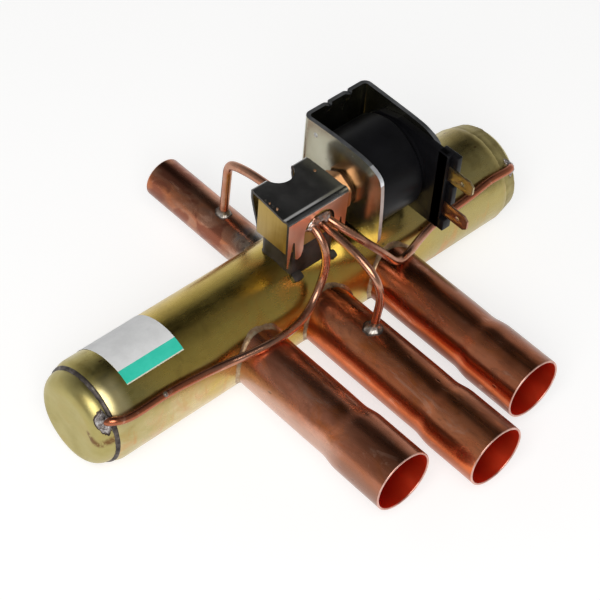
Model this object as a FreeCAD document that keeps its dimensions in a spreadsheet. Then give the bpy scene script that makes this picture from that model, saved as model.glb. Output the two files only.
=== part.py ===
import FreeCAD, Part
import os
import math
import Sketcher

V3 = FreeCAD.Vector
doc = FreeCAD.newDocument("reversing_valve")

# ---------------------------------------------------------------- driving sizes
# millimetres; X runs along the brass body towards the coil end, the three
# socket tubes point along -Y, the discharge stub along +Y, the pilot is on +Z
SIZES = [
    # brass body
    ("body_r", 19.25), ("bore_r", 17.6), ("body_half", 94.4), ("lip_start", 90.8), ("lip_r", 17.8),
    ("cap_half", 101.6), ("cap_wall", 1.5), ("cap_round", 5.0), ("cap_in", 87.5),
    ("seam_out", 95.5), ("seam_in", 93.9),
    # the coil end of the body is rolled in a little shorter, round a fuller cap
    ("body_half_r", 93.3), ("lip_start_r", 89.7), ("cap_half_r", 100.9), ("cap_round_r", 6.5), ("seam_out_r", 94.4), ("seam_in_r", 92.8),
    # copper tubes
    ("pitch", 31.5), ("neck_r", 11.11), ("neck_wall", 0.8), ("socket_r", 11.975), ("socket_bore", 11.175),
    ("socket_depth", 22.0), ("taper_len", 5.0), ("mouth_side", 89.5), ("mouth_mid", 102.0), ("tube_in", 14.5),
    ("disch_r", 7.94), ("disch_wall", 0.8), ("disch_end", 71.2), ("disch_in", 14.5),
    ("braze_w", 1.2), ("braze_h", 1.1),
    # seat, slide, carrier, pistons
    ("seat_y", 9.5), ("seat_half", 44.0), ("port_r", 8.5),
    ("slide_len", 54.5), ("slide_w", 23.0), ("slide_top", 2.6), ("slide_wall", 3.0), ("slide_gap", 0.05),
    ("carrier_y", 3.6), ("carrier_t", 1.2), ("carrier_w", 29.0), ("window_gap", 0.2), ("carrier_half", 63.6),
    ("tab_top", 8.5), ("tab_w", 14.0),
    ("piston_r", 17.3), ("piston_t", 5.0), ("seal_r", 17.55), ("seal_t", 1.6), ("head_r", 4.0), ("head_t", 1.4),
    ("shank_r", 1.5), ("shank_len", 9.5), ("spool_shift", 15.75),
    # capillaries
    ("cap_od", 3.0), ("cap_id", 1.6), ("cap_od_disch", 3.36), ("cap_recess", 0.35),
    # pilot valve
    ("pilot_y", 0.8), ("pilot_z", 37.8), ("block_x0", 12.6), ("block_x1", 13.2), ("block_s", 15.6),
    ("chamber_r", 5.5), ("chamber_x0", 7.0), ("port_small", 0.8), ("pilot_pitch", 3.4), ("pilot_mid", 1.8),
    ("pseat_x0", 5.0), ("pseat_x1", 8.8), ("pseat_y", 3.9), ("pslide_len", 6.8), ("pslide_w", 4.0), ("pslide_top", 1.0),
    # saddle and bracket
    ("saddle_x0", 9.8), ("saddle_x1", 10.7), ("saddle_y0", 8.6), ("saddle_y1", 7.6), ("saddle_t", 1.2), ("foot_len", 2.4),
    ("bracket_t", 1.0), ("bracket_x0", 13.5), ("bracket_x1", 14.4), ("bracket_rx0", 11.6), ("bracket_rx1", 13.4),
    ("bracket_y1", 11.8), ("notch_r", 6.0), ("notch_x", 0.9), ("notch_y", 12.3), ("arch_r", 7.0), ("arch_x", 1.3),
    ("arch_z", 37.0), ("leg_z", 24.6),
    # plunger tube and coil
    ("hex_af", 13.4), ("hex_end", 19.5), ("ptube_r", 5.5), ("ptube_in", 5.1), ("ptube_x0", 9.0), ("ptube_x1", 46.5),
    ("plug_x0", 36.5), ("plug_x1", 47.6), ("plunger_r", 5.04), ("plunger_x0", 13.6), ("plunger_x1", 33.0),
    ("pocket_r", 2.6), ("pocket_x", 27.0), ("spring_r", 2.1), ("spring_wire", 0.25), ("spring_turns", 7.0),
    ("tongue_x0", 5.6), ("tongue_t", 0.8), ("tongue_w", 6.8),
    ("yoke_x0", 19.5), ("yoke_x1", 49.2), ("yoke_y0", 20.8), ("yoke_y1", 19.9), ("yoke_z0", 24.0), ("yoke_z1", 57.3),
    ("yoke_t", 1.6), ("yoke_bend", 3.2), ("yoke_hole", 5.8), ("screw_hole", 2.2),
    ("coil_r", 18.0), ("coil_x0", 21.3), ("coil_x1", 42.6), ("coil_bore", 5.65), ("neck_coil_r", 15.6),
    ("flange_x0", 45.0), ("flange_x1", 47.5), ("head_x1", 49.3), ("head_y", 25.8), ("head_z0", 20.5), ("head_z1", 55.1),
    ("head_y1", 21.1), ("lug_y", 28.6), ("lug_x0", 47.7),
    ("wind_r0", 8.0), ("wind_r1", 15.0), ("wind_x0", 24.0), ("wind_x1", 40.0),
    ("blade_x0", 46.6), ("blade_t", 0.8), ("blade_w", 6.35), ("blade_tip", 37.4), ("blade_root", 22.4),
    ("blade_up_z", 46.2), ("blade_lo_z", 29.45), ("blade_hole", 0.85), ("blade_hole_y", 32.6),
    ("screw_head_r", 4.1), ("screw_head_t", 3.0), ("screw_r", 2.0), ("screw_in", 41.0), ("washer_t", 0.8), ("washer_r", 4.6),
    # label
    ("label_t", 0.1), ("label_x0", 84.0), ("label_len", 24.6), ("label_a0", 31.0), ("label_a1", 62.0),
]
sheet = doc.addObject("Spreadsheet::Sheet", "Dims")
VAL = {}
for row, (alias, value) in enumerate(SIZES, start=1):
    sheet.set("A%d" % row, alias)
    sheet.set("B%d" % row, str(value))
    sheet.setAlias("B%d" % row, alias)
    VAL[alias] = float(value)
doc.recompute()


class Q:
    """A size with its value now and its expression over the sheet."""

    def __init__(self, v, e):
        self.v, self.e = float(v), e

    @staticmethod
    def of(other):
        return other if isinstance(other, Q) else Q(other, repr(float(other)))

    def __add__(self, o):
        o = Q.of(o)
        return Q(self.v + o.v, "(%s + %s)" % (self.e, o.e))

    __radd__ = __add__

    def __sub__(self, o):
        o = Q.of(o)
        return Q(self.v - o.v, "(%s - %s)" % (self.e, o.e))

    def __rsub__(self, o):
        return Q.of(o) - self

    def __mul__(self, o):
        o = Q.of(o)
        return Q(self.v * o.v, "(%s * %s)" % (self.e, o.e))

    __rmul__ = __mul__

    def __truediv__(self, o):
        o = Q.of(o)
        return Q(self.v / o.v, "(%s / %s)" % (self.e, o.e))

    def __neg__(self):
        return Q(-self.v, "(0 - %s)" % self.e)


def D(name):
    return Q(VAL[name], "Dims." + name)


def bind(obj, prop, q):
    q = Q.of(q)
    obj.setExpression(prop, q.e)


def place(obj, x=0, y=0, z=0, rot=None):
    xs = [Q.of(x), Q.of(y), Q.of(z)]
    obj.Placement = FreeCAD.Placement(V3(xs[0].v, xs[1].v, xs[2].v), rot or FreeCAD.Rotation())
    for axis, q in zip("xyz", xs):
        obj.setExpression("Placement.Base." + axis, q.e)


ALONG_X = FreeCAD.Rotation(V3(0, 0, 1), V3(1, 0, 0))
ALONG_Y = FreeCAD.Rotation(V3(0, 0, 1), V3(0, 1, 0))


def cyl(name, r, h, x=0, y=0, z=0, rot=None):
    o = doc.addObject("Part::Cylinder", name)
    bind(o, "Radius", r)
    bind(o, "Height", h)
    place(o, x, y, z, rot)
    return o


def box(name, x0, x1, y0, y1, z0, z1):
    o = doc.addObject("Part::Box", name)
    x0, x1, y0, y1, z0, z1 = [Q.of(q) for q in (x0, x1, y0, y1, z0, z1)]
    bind(o, "Length", x1 - x0)
    bind(o, "Width", y1 - y0)
    bind(o, "Height", z1 - z0)
    place(o, x0, y0, z0)
    return o


def sphere(name, r, x, y, z):
    o = doc.addObject("Part::Sphere", name)
    bind(o, "Radius", r)
    place(o, x, y, z)
    return o


def fuse(name, parts):
    o = doc.addObject("Part::MultiFuse", name)
    o.Shapes = parts
    o.Refine = True
    return o


def cut(name, base, tools):
    tools = list(tools)
    tool = tools[0] if len(tools) == 1 else fuse(name + "_tools", tools)
    o = doc.addObject("Part::Cut", name)
    o.Base, o.Tool = base, tool
    return o


def common(name, a, b):
    o = doc.addObject("Part::Common", name)
    o.Base, o.Tool = a, b
    return o


def plane_of(body, role):
    return [f for f in body.Origin.OriginFeatures if f.Role == role][0]


def sketch(body, role, pts, name, arcs=None):
    """Closed outline; every corner is held by two dimensions over the sheet.
    arcs maps a side's index to the middle point of its arc."""
    arcs = arcs or {}
    sk = body.newObject("Sketcher::SketchObject", name)
    sk.AttachmentSupport = [(plane_of(body, role), "")]
    sk.MapMode = "FlatFace"
    pq = [(Q.of(a), Q.of(b)) for a, b in pts]
    n = len(pq)
    for i in range(n):
        a, b = pq[i], pq[(i + 1) % n]
        p, q = V3(a[0].v, a[1].v, 0), V3(b[0].v, b[1].v, 0)
        if i in arcs:
            m = V3(arcs[i][0], arcs[i][1], 0)
            arc = Part.Arc(p, m, q).toShape().Curve
            c = arc.Center
            a0 = math.atan2(p.y - c.y, p.x - c.x)
            a1 = math.atan2(q.y - c.y, q.x - c.x)
            am = math.atan2(m.y - c.y, m.x - c.x)
            ccw = ((am - a0) % (2 * math.pi)) < ((a1 - a0) % (2 * math.pi))
            circle = Part.Circle(c, V3(0, 0, 1), arc.Radius)
            sk.addGeometry(Part.ArcOfCircle(circle, a0, a1) if ccw else Part.ArcOfCircle(circle, a1, a0), False)
            arcs[i] = ccw
        else:
            sk.addGeometry(Part.LineSegment(p, q), False)

    def end(i, last):
        if i in arcs and not arcs[i]:
            return 1 if last else 2
        return 2 if last else 1

    for i in range(n):
        j = (i + 1) % n
        sk.addConstraint(Sketcher.Constraint("Coincident", i, end(i, True), j, end(j, False)))
    for i in range(n):
        for kind, q in zip(("DistanceX", "DistanceY"), pq[i]):
            if abs(q.v) < 1e-9 and q.e in ("0.0", "0"):
                line = -2 if kind == "DistanceX" else -1
                sk.addConstraint(Sketcher.Constraint("PointOnObject", i, end(i, False), line))
            else:
                k = sk.addConstraint(Sketcher.Constraint(kind, -1, 1, i, end(i, False), q.v))
                sk.setExpression("Constraints[%d]" % k, q.e)
    return sk


def new_body(name):
    b = doc.addObject("PartDesign::Body", name)
    return b


def revolved(name, role, pts, axis, arcs=None):
    """axis H_Axis or V_Axis of the sketch."""
    b = new_body(name)
    sk = sketch(b, role, pts, name + "_profile", arcs)
    r = b.newObject("PartDesign::Revolution", name + "_turn")
    r.Profile = sk
    r.ReferenceAxis = (sk, [axis])
    r.Angle = 360.0
    return b


def padded(name, role, pts, length, arcs=None, reverse=False, mid=False):
    b = new_body(name)
    sk = sketch(b, role, pts, name + "_profile", arcs)
    p = b.newObject("PartDesign::Pad", name + "_pad")
    p.Profile = sk
    p.Reversed = reverse
    if mid:
        p.Midplane = True
    bind(p, "Length", length)
    return b


def fillet_edges(body, test, radius, name):
    doc.recompute()
    tip = body.Tip
    names = ["Edge%d" % (i + 1) for i, e in enumerate(tip.Shape.Edges) if test(e)]
    if not names:
        raise RuntimeError("no edge for " + name)
    f = body.newObject("PartDesign::Fillet", name)
    f.Base = (tip, names)
    bind(f, "Radius", radius)
    return f


NODES = []


def node(label, obj):
    obj.Label = label
    NODES.append((label, obj))
    return obj


# ------------------------------------------------------------------ brass body
# tube wall turned about X, with its ends rolled in round the caps
lip_mid_x = 90.8 + 1.95
lip_mid_r = 19.25 - (5.19 - math.sqrt(5.19 ** 2 - 1.95 ** 2))
wall = revolved("body_wall", "XY_Plane", [
    (-D("lip_start"), D("body_r")), (D("lip_start_r"), D("body_r")), (D("body_half_r"), D("lip_r")),
    (D("body_half_r"), D("bore_r")), (-D("body_half"), D("bore_r")), (-D("body_half"), D("lip_r"))],
    "H_Axis", arcs={1: (lip_mid_x - 1.1, lip_mid_r), 5: (-lip_mid_x, lip_mid_r)})
holes = [cyl("hole_%s" % t, D("neck_r"), 12, x, -11, 0, FreeCAD.Rotation(V3(0, 0, 1), V3(0, -1, 0)))
         for t, x in (("left", -D("pitch")), ("mid", 0), ("right", D("pitch")))]
holes.append(cyl("hole_disch", D("disch_r"), 12, 0, 11, 0, ALONG_Y))
body_tube = node("body_tube", cut("body_tube_cut", wall, holes))

def end(alias, side):
    """A size of one end of the body."""
    return D(alias + ("_r" if side == "right" else ""))


CAP_X = {"left": 101.6, "right": 100.9}
# outer form of a cap, and the hollow inside it
cap_outer, cap_inner = {}, {}
for side, s in (("left", -1), ("right", 1)):
    o = revolved("cap_outer_" + side, "XY_Plane", [
        (s * D("cap_in"), 0), (s * D("cap_in"), D("bore_r")), (s * end("cap_half", side), D("bore_r")), (s * end("cap_half", side), 0)],
        "H_Axis")
    fillet_edges(o, lambda e, s=s, a=CAP_X[side]: isinstance(e.Curve, Part.Circle) and abs(abs(e.Vertexes[0].X) - a) < 1e-3
                 and e.Vertexes[0].X * s > 0, end("cap_round", side), "cap_round_" + side)
    i = revolved("cap_inner_" + side, "XY_Plane", [
        (s * (D("cap_in") - 1), 0), (s * (D("cap_in") - 1), D("bore_r") - D("cap_wall")),
        (s * (end("cap_half", side) - D("cap_wall")), D("bore_r") - D("cap_wall")), (s * (end("cap_half", side) - D("cap_wall")), 0)],
        "H_Axis")
    fillet_edges(i, lambda e, s=s, a=CAP_X[side] - 1.5: isinstance(e.Curve, Part.Circle) and abs(abs(e.Vertexes[0].X) - a) < 1e-3
                 and e.Vertexes[0].X * s > 0, end("cap_round", side) - D("cap_wall"), "cap_round_in_" + side)
    cap_outer[side], cap_inner[side] = o, i

# --------------------------------------------------------------- copper sockets
def socket_tube(name, x, mouth):
    t = revolved(name + "_turned", "XY_Plane", [
        (D("neck_r") - D("neck_wall"), -D("tube_in")), (D("neck_r"), -D("tube_in")),
        (D("neck_r"), -(mouth - D("socket_depth") - D("taper_len"))),
        (D("socket_r"), -(mouth - D("socket_depth"))), (D("socket_r"), -mouth),
        (D("socket_bore"), -mouth), (D("socket_bore"), -(mouth - D("socket_depth"))),
        (D("neck_r") - D("neck_wall"), -(mouth - D("socket_depth") - D("taper_len")))], "V_Axis")
    place(t, x, 0, 0)
    return t


tube_left = node("socket_tube_left", socket_tube("socket_left", -D("pitch"), D("mouth_side")))
tube_mid = socket_tube("socket_mid", 0, D("mouth_mid"))
tube_right = node("socket_tube_right", socket_tube("socket_right", D("pitch"), D("mouth_side")))
disch = revolved("disch_turned", "XY_Plane", [
    (D("disch_r") - D("disch_wall"), D("disch_in")), (D("disch_r"), D("disch_in")),
    (D("disch_r"), D("disch_end")), (D("disch_r") - D("disch_wall"), D("disch_end"))], "V_Axis")

# braze collars that follow the saddle between each tube and the body
def braze(name, x, r, side):
    d = FreeCAD.Rotation(V3(0, 0, 1), V3(0, side, 0))
    a = cyl(name + "_a", r + D("braze_w"), 12, x, side * 10, 0, d)
    b = cyl(name + "_b", D("body_r") + D("braze_h"), r * 2 + D("braze_w") * 2 + 2, x - r - D("braze_w") - 1, 0, 0, ALONG_X)
    c = common(name + "_ab", a, b)
    t = cyl(name + "_t", r, 14, x, side * 9, 0, d)
    w = cyl(name + "_w", D("body_r"), r * 2 + D("braze_w") * 2 + 4, x - r - D("braze_w") - 2, 0, 0, ALONG_X)
    return cut(name + "_cut", c, [t, w])


node("braze_ring_left", braze("braze_l", -D("pitch"), D("neck_r"), -1))
node("braze_ring_suction", braze("braze_m", Q(0, "0"), D("neck_r"), -1))
node("braze_ring_right", braze("braze_r", D("pitch"), D("neck_r"), -1))
node("braze_ring_discharge", braze("braze_d", Q(0, "0"), D("disch_r"), 1))

# solder rings where the caps meet the rolled ends
for side, s in (("left", -1), ("right", 1)):
    ring = revolved("seam_" + side, "XY_Plane", [
        (s * end("seam_out", side), D("bore_r")), (s * (end("seam_out", side) - 0.35), D("bore_r") + 0.5),
        (s * (end("body_half", side) + 0.1), D("bore_r") + 0.85), (s * end("seam_in", side), D("bore_r") + 0.95), (s * end("seam_in", side), D("bore_r"))],
        "H_Axis")
    wall_copy = revolved("seam_wall_" + side, "XY_Plane", [
        (-D("lip_start"), D("body_r")), (D("lip_start_r"), D("body_r")), (D("body_half_r"), D("lip_r")),
        (D("body_half_r"), D("bore_r")), (-D("body_half"), D("bore_r")), (-D("body_half"), D("lip_r"))],
        "H_Axis", arcs={1: (lip_mid_x - 1.1, lip_mid_r), 5: (-lip_mid_x, lip_mid_r)})
    node("seam_ring_" + side, cut("seam_cut_" + side, ring, [wall_copy]))

# ---------------------------------------------------------------- valve inside
seat_round = cyl("seat_round", D("bore_r"), D("seat_half") * 2, -D("seat_half"), 0, 0, ALONG_X)
seat_keep = box("seat_keep", -D("seat_half"), D("seat_half"), -20, -D("seat_y"), -20, 20)
seat_blank = common("seat_blank", seat_round, seat_keep)
seat_tools = []
for t, x in (("l", -D("pitch")), ("m", Q(0, "0")), ("r", D("pitch"))):
    dy = FreeCAD.Rotation(V3(0, 0, 1), V3(0, -1, 0))
    seat_tools.append(cyl("seat_port_" + t, D("port_r"), 16, x, -5, 0, dy))
    seat_tools.append(cyl("seat_spot_" + t, D("neck_r"), 8, x, -D("tube_in"), 0, dy))
node("valve_seat", cut("valve_seat_cut", seat_blank, seat_tools))

xc = -D("spool_shift")
s_blank = new_body("slide_blank")
sk = sketch(s_blank, "XZ_Plane", [
    (xc - D("slide_len") / 2, -D("slide_w") / 2), (xc + D("slide_len") / 2, -D("slide_w") / 2),
    (xc + D("slide_len") / 2, D("slide_w") / 2), (xc - D("slide_len") / 2, D("slide_w") / 2)], "slide_outline")
pad = s_blank.newObject("PartDesign::Pad", "slide_pad")
pad.Profile = sk
bind(pad, "Length", D("slide_top") + D("seat_y") - D("slide_gap"))
doc.recompute()
if s_blank.Shape.BoundBox.YMax > 1:
    raise RuntimeError("slide pad points the wrong way")
place(s_blank, 0, D("slide_top"), 0)
fillet_edges(s_blank, lambda e: e.BoundBox.YLength > 8 and e.BoundBox.XLength < 0.1, Q(8, "8"), "slide_corners")
fillet_edges(s_blank, lambda e: e.BoundBox.YLength < 0.01 and abs(e.BoundBox.YMax) < 0.01 or
             (e.BoundBox.YLength < 0.01 and abs(e.BoundBox.YMax - 2.6) < 0.01), Q(2, "2"), "slide_dome")
half = D("slide_len") / 2 - D("slide_wall")
r_in = D("slide_w") / 2 - D("slide_wall")
cav = fuse("slide_cavity", [
    box("slide_cav_box", xc - half + r_in, xc + half - r_in, -12, D("slide_top") - D("slide_wall"), -r_in, r_in),
    cyl("slide_cav_a", r_in, D("slide_top") - D("slide_wall") + 12, xc - half + r_in, -12, 0, ALONG_Y),
    cyl("slide_cav_b", r_in, D("slide_top") - D("slide_wall") + 12, xc + half - r_in, -12, 0, ALONG_Y)])
node("main_slide", cut("main_slide_cut", s_blank, [cav]))

car_plate = box("car_plate", xc - D("carrier_half"), xc + D("carrier_half"), -D("carrier_y"), -D("carrier_y") + D("carrier_t"),
                -D("carrier_w") / 2, D("carrier_w") / 2)
car_parts = [car_plate]
for t, s in (("l", -1), ("r", 1)):
    a = xc + s * D("carrier_half")
    b = xc + s * (D("carrier_half") - D("carrier_t"))
    lo, hi = (a, b) if s < 0 else (b, a)
    car_parts.append(box("car_tab_" + t, lo, hi, -D("carrier_y"), D("tab_top"), -D("tab_w") / 2, D("tab_w") / 2))
car_all = fuse("car_all", car_parts)
car_tools = [box("car_window", xc - D("slide_len") / 2 - D("window_gap"), xc + D("slide_len") / 2 + D("window_gap"), -6, 0,
                 -D("slide_w") / 2 - D("window_gap"), D("slide_w") / 2 + D("window_gap"))]
for t, s in (("l", -1), ("r", 1)):
    car_tools.append(cyl("car_vent_" + t, Q(5, "5"), 6, xc + s * 46.0, -6, 0, ALONG_Y))
    car_tools.append(cyl("car_bolt_" + t, D("shank_r"), 4, xc + s * D("carrier_half") - 2, 0, 0, ALONG_X))
node("slide_carrier", cut("slide_carrier_cut", car_all, car_tools))

screws = []
for t, s in (("left", -1), ("right", 1)):
    f = D("carrier_half")
    p = revolved("piston_turn_" + t, "XY_Plane", [
        (s * f, D("shank_r")), (s * f, D("piston_r")), (s * (f + D("piston_t")), D("piston_r")),
        (s * (f + D("piston_t")), D("shank_r"))], "H_Axis")
    place(p, xc, 0, 0)
    node("piston_" + t, p)
    q = revolved("seal_turn_" + t, "XY_Plane", [
        (s * (f + D("piston_t")), D("shank_r")), (s * (f + D("piston_t")), D("seal_r")),
        (s * (f + D("piston_t") + D("seal_t")), D("seal_r") - 0.3), (s * (f + D("piston_t") + D("seal_t")), D("shank_r"))],
        "H_Axis")
    place(q, xc, 0, 0)
    node("piston_seal_" + t, q)
    g = D("piston_t") + D("seal_t")
    w = revolved("screw_turn_" + t, "XY_Plane", [
        (s * (f + g + D("head_t")), 0), (s * (f + g + D("head_t")), D("head_r") - 0.5), (s * (f + g + D("head_t") - 0.5), D("head_r")),
        (s * (f + g), D("head_r")), (s * (f + g), D("shank_r")),
        (s * (f + g - D("shank_len")), D("shank_r")), (s * (f + g - D("shank_len")), 0)], "H_Axis")
    place(w, xc, 0, 0)
    screws.append(w)
comp = doc.addObject("Part::Compound", "screw_pair")
comp.Links = screws
node("piston_screws", comp)

# ------------------------------------------------------------------ capillaries
def rounded_path(points, radii):
    """Straight runs joined by tangent arcs; radii are for the inner points."""
    pts = [V3(*p) for p in points]
    edges, prev = [], pts[0]
    length = 0.0
    for i in range(1, len(pts) - 1):
        a, b, c = pts[i - 1], pts[i], pts[i + 1]
        u = (a - b).normalize()
        w = (c - b).normalize()
        turn = math.pi - u.getAngle(w)
        r = radii[i - 1]
        run = min((a - b).Length, (c - b).Length)
        top = 0.46 * run / math.tan(turn / 2)
        if r is None or r > top:
            r = top
        t = r * math.tan(turn / 2)
        p, q = b + u * t, b + w * t
        bis = (u + w).normalize()
        centre = b + bis * (r / math.cos(turn / 2))
        m = centre - bis * r
        edges.append(Part.LineSegment(prev, p).toShape())
        edges.append(Part.Arc(p, m, q).toShape())
        length += (p - prev).Length + r * turn
        prev = q
    edges.append(Part.LineSegment(prev, pts[-1]).toShape())
    length += (pts[-1] - prev).Length
    return Part.Wire(edges), length


def pipe(points, radii, d):
    wire, length = rounded_path(points, radii)
    a, b = V3(*points[0]), V3(*points[1])
    ring = Part.Wire([Part.Circle(a, b - a, d / 2.0).toShape()])
    solid = wire.makePipeShell([ring], True, False)
    want = math.pi * (d / 2.0) ** 2 * length
    if solid.ShapeType != "Solid":
        solid = Part.Solid(solid)
    if solid.Volume < 0:
        solid.reverse()
    if not solid.isValid() or abs(solid.Volume - want) > 0.02 * want:
        raise RuntimeError("pipe volume %.2f, wanted %.2f" % (solid.Volume, want))
    return solid


pz, py = VAL["pilot_z"], -VAL["pilot_y"]
pitch_s, mid_s = VAL["pilot_pitch"], VAL["pilot_mid"]
front = py - VAL["chamber_r"]
back = py + VAL["chamber_r"]
ROUTES = {
    "left": ([(mid_s - pitch_s, front, pz), (mid_s - pitch_s, -10.6, pz), (-1.6, -15.8, 33.4), (-1.6, -17.4, 26.0), (-2.9, -17.3, 18.6),
              (-8.2, -19.0, 11.9), (-17.2, -22.2, 10.3), (-30.6, -24.5, 12.9), (-41.0, -21.9, 11.0), (-50.5, -18.9, 9.5),
              (-61.5, -18.2, 10.6), (-73.5, -17.6, 11.3), (-84.0, -17.9, 11.2), (-91.2, -17.7, 11.3), (-96.4, -15.8, 12.4), (-97.3, -11.6, 9.3)],
             [None] * 14),
    "suction": ([(mid_s, front, pz), (mid_s, -20.0, pz), (1.7, -29.0, 36.6), (2.4, -37.4, 32.4), (3.2, -39.9, 24.0), (1.8, -39.9, 15.5), (0.6, -40.3, 9.2)],
                [None] * 5),
    "right": ([(mid_s + pitch_s, front, pz), (mid_s + pitch_s, -10.6, pz), (9.6, -17.6, 33.6), (14.6, -20.8, 28.4), (20.4, -23.1, 21.8), (27.6, -24.5, 12.6),
               (34.6, -23.3, 12.7), (44.6, -19.2, 10.6), (54.0, -17.5, 11.8), (74.0, -16.9, 12.6), (83.4, -16.1, 13.5), (92.2, -16.5, 12.9),
               (96.0, -15.4, 12.0), (96.8, -11.6, 9.3)], [None] * 12),
    "discharge": ([(0.4, back, pz), (0.3, 21.0, 37.0), (0.0, 30.5, 35.2), (0.0, 36.0, 32.6), (0.0, 36.4, 25.0), (-0.2, 36.9, 9.0), (-0.2, 36.9, 6.0)],
                  [None, 8.0, 4.2, None, None]),
}
pipes = {}
for key, (points, radii) in ROUTES.items():
    outer = doc.addObject("Part::Feature", "capillary_outer_" + key)
    outer.Shape = pipe(points, list(radii), VAL["cap_od_disch" if key == "discharge" else "cap_od"])
    inner = doc.addObject("Part::Feature", "capillary_bore_" + key)
    inner.Shape = pipe(points, list(radii), VAL["cap_id"])
    pipes[key] = outer
    trim = [inner]
    if key == "discharge":
        # its end stops in the hole, just short of the inside of the stub
        trim.append(cyl("stub_bore_clear", D("disch_r") - D("disch_wall") + D("cap_recess"), 20, 0, 27, 0, ALONG_Y))
    node("capillary_" + key, cut("capillary_cut_" + key, outer, trim))

# parts that a capillary enters
node("end_cap_left", cut("end_cap_left_cut", cap_outer["left"], [cap_inner["left"], pipes["left"]]))
node("end_cap_right", cut("end_cap_right_cut", cap_outer["right"], [cap_inner["right"], pipes["right"]]))
node("socket_tube_suction", cut("socket_mid_cut", tube_mid, [pipes["suction"]]))
node("discharge_tube", cut("disch_cut", disch, [pipes["discharge"]]))

# solder beads round the capillary ends
def full_wall(name):
    return cyl(name, D("body_r"), D("lip_start") * 2, -D("lip_start"), 0, 0, ALONG_X)


for side, s in (("left", -1), ("right", 1)):
    bead = sphere("bead_cap_" + side, Q(3.3, "3.3"), -97.3 if s < 0 else 96.7, -14.9, 11.7)
    plug = revolved("bead_form_" + side, "XY_Plane", [
        (s * D("cap_in"), 0), (s * D("cap_in"), D("bore_r")), (s * end("cap_half", side), D("bore_r")), (s * end("cap_half", side), 0)], "H_Axis")
    fillet_edges(plug, lambda e, s=s, a=CAP_X[side]: isinstance(e.Curve, Part.Circle) and abs(abs(e.Vertexes[0].X) - a) < 1e-3
                 and e.Vertexes[0].X * s > 0, end("cap_round", side), "bead_round_" + side)
    ringf = revolved("bead_ring_" + side, "XY_Plane", [
        (s * end("seam_out", side), 0), (s * end("seam_out", side), D("bore_r")), (s * (end("seam_out", side) - 0.35), D("bore_r") + 0.5),
        (s * (end("body_half", side) + 0.1), D("bore_r") + 0.85), (s * end("seam_in", side), D("bore_r") + 0.95), (s * (end("seam_in", side) - 4), D("bore_r") + 0.95),
        (s * (end("seam_in", side) - 4), 0)], "H_Axis")
    node("solder_cap_" + side, cut("solder_cap_cut_" + side, bead, [plug, ringf, pipes[side]]))
bead = sphere("bead_suction", Q(3.1, "3.1"), 0.8, -40.2, 10.9)
node("solder_suction", cut("solder_suction_cut", bead, [
    cyl("bead_neck", D("neck_r"), 20, 0, -30, 0, FreeCAD.Rotation(V3(0, 0, 1), V3(0, -1, 0))), pipes["suction"]]))
bead = sphere("bead_disch", Q(2.9, "2.9"), -0.2, 36.9, 7.7)
node("solder_discharge", cut("solder_discharge_cut", bead, [
    cyl("bead_stub", D("disch_r"), 20, 0, 27, 0, ALONG_Y), pipes["discharge"]]))

# ------------------------------------------------------------------ pilot valve
py_q, pz_q = -D("pilot_y"), D("pilot_z")
hs = D("block_s") / 2
block = new_body("block_body")
sk = sketch(block, "YZ_Plane", [(py_q - hs, pz_q - hs), (py_q + hs, pz_q - hs), (py_q + hs, pz_q + hs), (py_q - hs, pz_q + hs)], "block_outline")
pad = block.newObject("PartDesign::Pad", "block_pad")
pad.Profile = sk
bind(pad, "Length", D("block_x0") + D("block_x1"))
place(block, -D("block_x0"), 0, 0)
doc.recompute()
if abs(block.Shape.BoundBox.XMin + 12.6) > 0.01:
    raise RuntimeError("block pad points the wrong way %r" % block.Shape.BoundBox)
fillet_edges(block, lambda e: e.BoundBox.XLength > 20, Q(0.3, "0.3"), "block_edges")
chamber = cyl("chamber", D("chamber_r"), D("chamber_x0") + D("block_x1") + 1, -D("chamber_x0"), py_q, pz_q, ALONG_X)
node("pilot_body", cut("pilot_body_cut", block, [chamber, pipes["left"], pipes["suction"], pipes["right"], pipes["discharge"]]))

bead_p = fuse("bead_pilot", [sphere("bead_p_%d" % i, Q(2.5, "2.5"), D("pilot_mid") + k * D("pilot_pitch"), -9.3, pz_q)
                             for i, k in enumerate((-1, 0, 1))])
bead_keep = box("bead_keep", -30, 30, py_q - hs, 5, 20, 60)
node("solder_pilot", cut("solder_pilot_cut", bead_p, [bead_keep, pipes["left"], pipes["suction"], pipes["right"]]))

seat2_round = cyl("pseat_round", D("chamber_r"), D("pseat_x0") + D("pseat_x1"), -D("pseat_x0"), py_q, pz_q, ALONG_X)
seat2_keep = box("pseat_keep", -D("pseat_x0"), D("pseat_x1"), -10, -D("pseat_y"), pz_q - 8, pz_q + 8)
seat2 = common("pseat_blank", seat2_round, seat2_keep)
ports = [cyl("pport_%d" % i, D("port_small"), 6, D("pilot_mid") + k * D("pilot_pitch"), -8, pz_q, ALONG_Y) for i, k in enumerate((-1, 0, 1))]
node("pilot_seat", cut("pilot_seat_cut", seat2, ports))

px_c = D("pilot_mid") - D("pilot_pitch") / 2
ps_blank = box("pslide_blank", px_c - D("pslide_len") / 2, px_c + D("pslide_len") / 2, -D("pseat_y") + 0.03, -D("pslide_top"),
               pz_q - D("pslide_w") / 2, pz_q + D("pslide_w") / 2)
ps_cav = box("pslide_cav", px_c - D("pslide_len") / 2 + 0.9, px_c + D("pslide_len") / 2 - 0.9, -D("pseat_y") - 1, -D("pslide_top") - 0.9,
             pz_q - 1.1, pz_q + 1.1)
node("pilot_slide", cut("pilot_slide_cut", ps_blank, [ps_cav]))

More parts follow.
